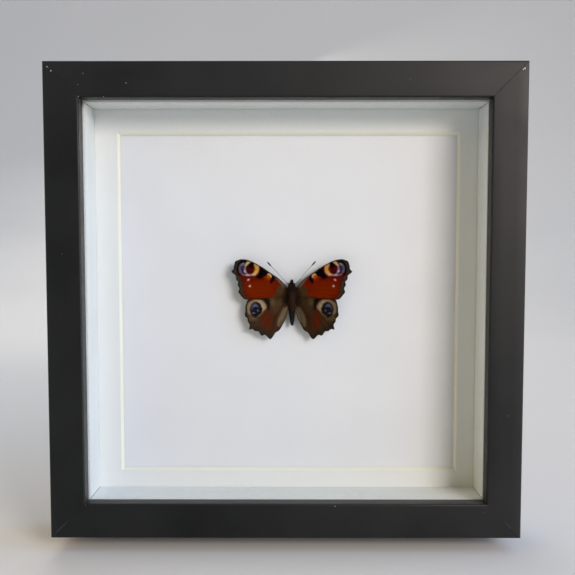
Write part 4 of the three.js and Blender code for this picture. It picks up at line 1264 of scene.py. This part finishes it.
def make_vee_nails():
    """Two vee nails across each mitre at the back, driven almost flush."""
    t = np.linspace(-1, 1, 31)
    across = t * 2.5
    toward = np.sqrt(t ** 2 + 0.012) * 1.5
    parts = []
    for side, rise in ((1, 1), (1, -1), (-1, 1), (-1, -1)):
        for inset in (4.6, 10.4):
            x = side * (MIDDLE - inset - (toward + across) * 0.707)
            z = MIDDLE + rise * (MIDDLE - inset - (toward - across) * 0.707)
            parts.append(tube(columns(x, FRAME_DEPTH - 0.12, z), 0.24, 8))
    piece("vee_nails", in_frame, joined(parts), "steel", "steel")


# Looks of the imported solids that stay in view, by the first word of their name
NODE_LOOKS = {"glass": "glass", "mat": "mat", "backing": "card", "back": "hardboard", "liner": "liner",
              "tab": "steel", "hanger": "steel"}


def dress_nodes():
    for name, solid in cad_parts.items():
        look = NODE_LOOKS.get(name.split("_")[0])
        if look:
            solid.data.materials.clear()
            solid.data.materials.append(LOOKS[look])


# Stage, lights and camera

STAGE_PROFILE = [(-14.0, 0.0), (-3.0, 0.0), (0.9, 0.0), (1.2, 0.02), (1.45, 0.12), (1.6, 0.3), (1.66, 0.6),
                 (1.66, 3.0)]
STAGE_REACH = 14


def make_stage():
    """Pale floor that sweeps up into a backdrop."""
    y, z = smooth_path(STAGE_PROFILE, 60).T
    points = np.vstack([columns(x, y, z) for x in (-STAGE_REACH, STAGE_REACH)])
    mesh_object("floor", points, [grid_faces(2, len(y))], "floor")


def area_light(name, place, target, size, power, colour):
    light = bpy.data.lights.new(name, "AREA")
    light.shape = "RECTANGLE"
    light.size, light.size_y = size
    light.energy = power
    light.color = colour
    made = bpy.data.objects.new(name, light)
    made.location = place
    made.rotation_euler = (Vector(target) - Vector(place)).to_track_quat("-Z", "Y").to_euler()
    bpy.context.scene.collection.objects.link(made)


def beam_place(across, up, distance):
    """A place seen from the card at an angle to the right of its normal and above it."""
    a, e = math.radians(across), math.radians(up)
    return (distance * math.cos(e) * math.sin(a), -distance * math.cos(e) * math.cos(a),
            MIDDLE * MM + distance * math.sin(e))


POWER_WINDOW = 17
POWER_REAR = 9
WINDOW_COLOUR = (0.97, 0.85, 0.77)
REAR_COLOUR = (1.0, 0.98, 0.95)

# Light of the surroundings: direction and colour of each part of the sky
SKY_LOBES = [
    ((-1, 0, 0), (1.1, 0.88, 0.5)), ((1, 0, 0), (1.25, 1.85, 2.85)), ((0, 0, 1), (0.02, 0.02, 0.02)),
    ((0, -1, 0), (0.02, 0.02, 0.02)),
]


def make_lights():
    """A window light from the right, a fill for the back, and a sky that is dark straight ahead."""
    target = (0, CARD_Y * MM, MIDDLE * MM)
    area_light("window", beam_place(36, 19, 1.6), target, (0.6, 0.42), POWER_WINDOW, WINDOW_COLOUR)
    area_light("rear_fill", (-0.4, 1.25, 1.05), target, (1.2, 0.8), POWER_REAR, REAR_COLOUR)
    world = bpy.data.worlds.new("studio")
    world.use_nodes = True
    sky = Nodes(world.node_tree)
    direction = sky.new("TexCoord").outputs["Generated"]

    def facing(axis):
        return sky.math("DOT_PRODUCT", direction, axis, kind="VectorMath", output="Value")

    def scaled(colour, share):
        return sky.new("VectorMath", {0: colour, "Scale": share}, operation="SCALE").outputs[0]

    total = (0.0, 0.0, 0.0)
    for axis, colour in SKY_LOBES:
        lobe = scaled(colour, sky.math("MAXIMUM", facing(axis), 0.0))
        total = sky.math("ADD", lobe, total, kind="VectorMath")
    shown = scaled(total, sky.stretch(facing((0, -1, 0)), 0.83, 0.92, 1.0, 0.02))
    rays = sky.new("LightPath").outputs
    grey = sky.new("RGBToBW", {"Color": shown}).outputs["Val"]
    shown = sky.mix(rays["Is Camera Ray"], sky.mix(rays["Is Glossy Ray"], shown, grey), rgba(214, 216, 216))
    sky.tree.links.new(shown, sky.tree.nodes["Background"].inputs["Color"])
    bpy.context.scene.world = world


def make_camera():
    lens = bpy.data.cameras.new("camera")
    lens.sensor_width = SENSOR
    lens.lens = SENSOR * LENS_PIXELS / PICTURE_PIXELS
    lens.clip_start = 0.01
    made = bpy.data.objects.new("camera", lens)
    made.location = CAMERA_PLACE
    made.rotation_euler = (math.radians(90 + CAMERA_PITCH), 0, math.radians(CAMERA_TURN))
    bpy.context.scene.collection.objects.link(made)
    bpy.context.scene.camera = made
    bpy.context.scene.view_settings.view_transform = "Standard"


for make in (make_camera, make_stage, make_lights, make_frame, make_wear, make_liner_seam_shadows, make_rivets,
             make_vee_nails, dress_nodes, make_body, make_eyes, make_palps, make_antennae, make_proboscis,
             make_legs, make_spacer, make_wings):
    make()
